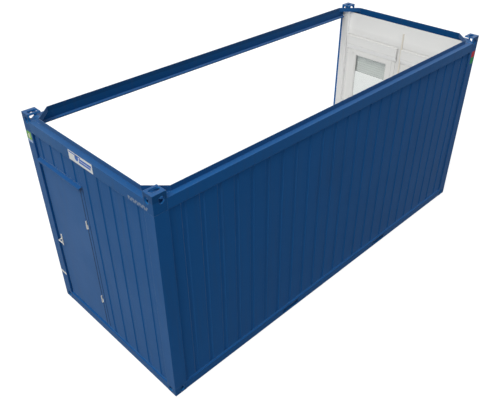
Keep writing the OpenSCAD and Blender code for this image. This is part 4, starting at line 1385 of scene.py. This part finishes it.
def skirt(x, y, out, across, long):
    """A length of skirting from a place at the foot of a wall, standing out from it."""
    place = Vector((x, y, FOOT_Z))
    add_prism(skirting, [place + out * proud + UP * rise for proud, rise in SKIRT_SECTION],
              across * (long - 2.0 * END_GAP))


skirt(-POST_IN_X + END_GAP, LINING_HIGH.y + HAIR, TO_OPEN, TO_WINDOWS, 2.0 * POST_IN_X)
skirt(LINING_X - HAIR, -POST_IN_Y + END_GAP, -TO_WINDOWS, TO_OPEN, 2.0 * POST_IN_Y)
skirt(DOOR_LINING_X + HAIR, -POST_IN_Y + END_GAP, TO_WINDOWS, TO_OPEN, JAMB_LOW.y + POST_IN_Y)
make_piece("skirting", skirting, "white_plastic")
print("skirting fitted")

# %% Cover the joints of the boards and weld the floor
BOARD_WIDE = 1.1430
BOARD_JOINTS = 4
STRIP_HALF, STRIP_T = 0.014, 0.0025
SEAM_HALF, SEAM_PROUD = 0.0022, 0.0005
SEAM_END_Y = SIDE_Y - 0.028
strips, seams = bmesh.new(), bmesh.new()
for i in range(1, BOARD_JOINTS + 1):
    x = -POST_IN_X + i * BOARD_WIDE
    add_box(strips, (x - STRIP_HALF, LINING_HIGH.y + HAIR, FOOT_Z + SKIRT_HIGH + END_GAP),
            (x + STRIP_HALF, LINING_HIGH.y + STRIP_T, LINING_HIGH.z - END_GAP))
make_piece("lining_strips", strips, "white_board", rounding=0.0010)
for x in (-0.5 * LINING_X, 0.0, 0.5 * LINING_X):
    add_box(seams, (x - SEAM_HALF, LINING_HIGH.y + SKIRT_T + END_GAP, FLOOR_Z - HAIR),
            (x + SEAM_HALF, SEAM_END_Y, FLOOR_Z + SEAM_PROUD))
make_piece("floor_seams", seams, "floor_sheet")
print("strips and seams laid")

# %% Clip the cable duct
CLIP_COUNT = 5
CLIP_FIRST, CLIP_PITCH, CLIP_HIGH = 0.12, 0.52, 0.014
CLIP_PROUD, CLIP_LIFT = 0.0015, 0.0012
DUCT_CAP_HIGH = 0.012
DUCT_LOW, DUCT_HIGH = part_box("cable_duct")
clips = bmesh.new()


def clip(lift, low_z, high_z):
    add_box(clips, (DUCT_LOW.x - lift, DUCT_LOW.y - CLIP_PROUD, low_z),
            (DUCT_HIGH.x - 0.0005, DUCT_HIGH.y + CLIP_PROUD, high_z))


for i in range(CLIP_COUNT):
    clip_z = DUCT_LOW.z + CLIP_FIRST + i * CLIP_PITCH
    clip(CLIP_LIFT, clip_z, clip_z + CLIP_HIGH)
clip(CLIP_PROUD, DUCT_HIGH.z - DUCT_CAP_HIGH, DUCT_HIGH.z + CLIP_PROUD)
make_piece("duct_clips", clips, "cream_plastic", rounding=0.0006)
print("duct clipped")
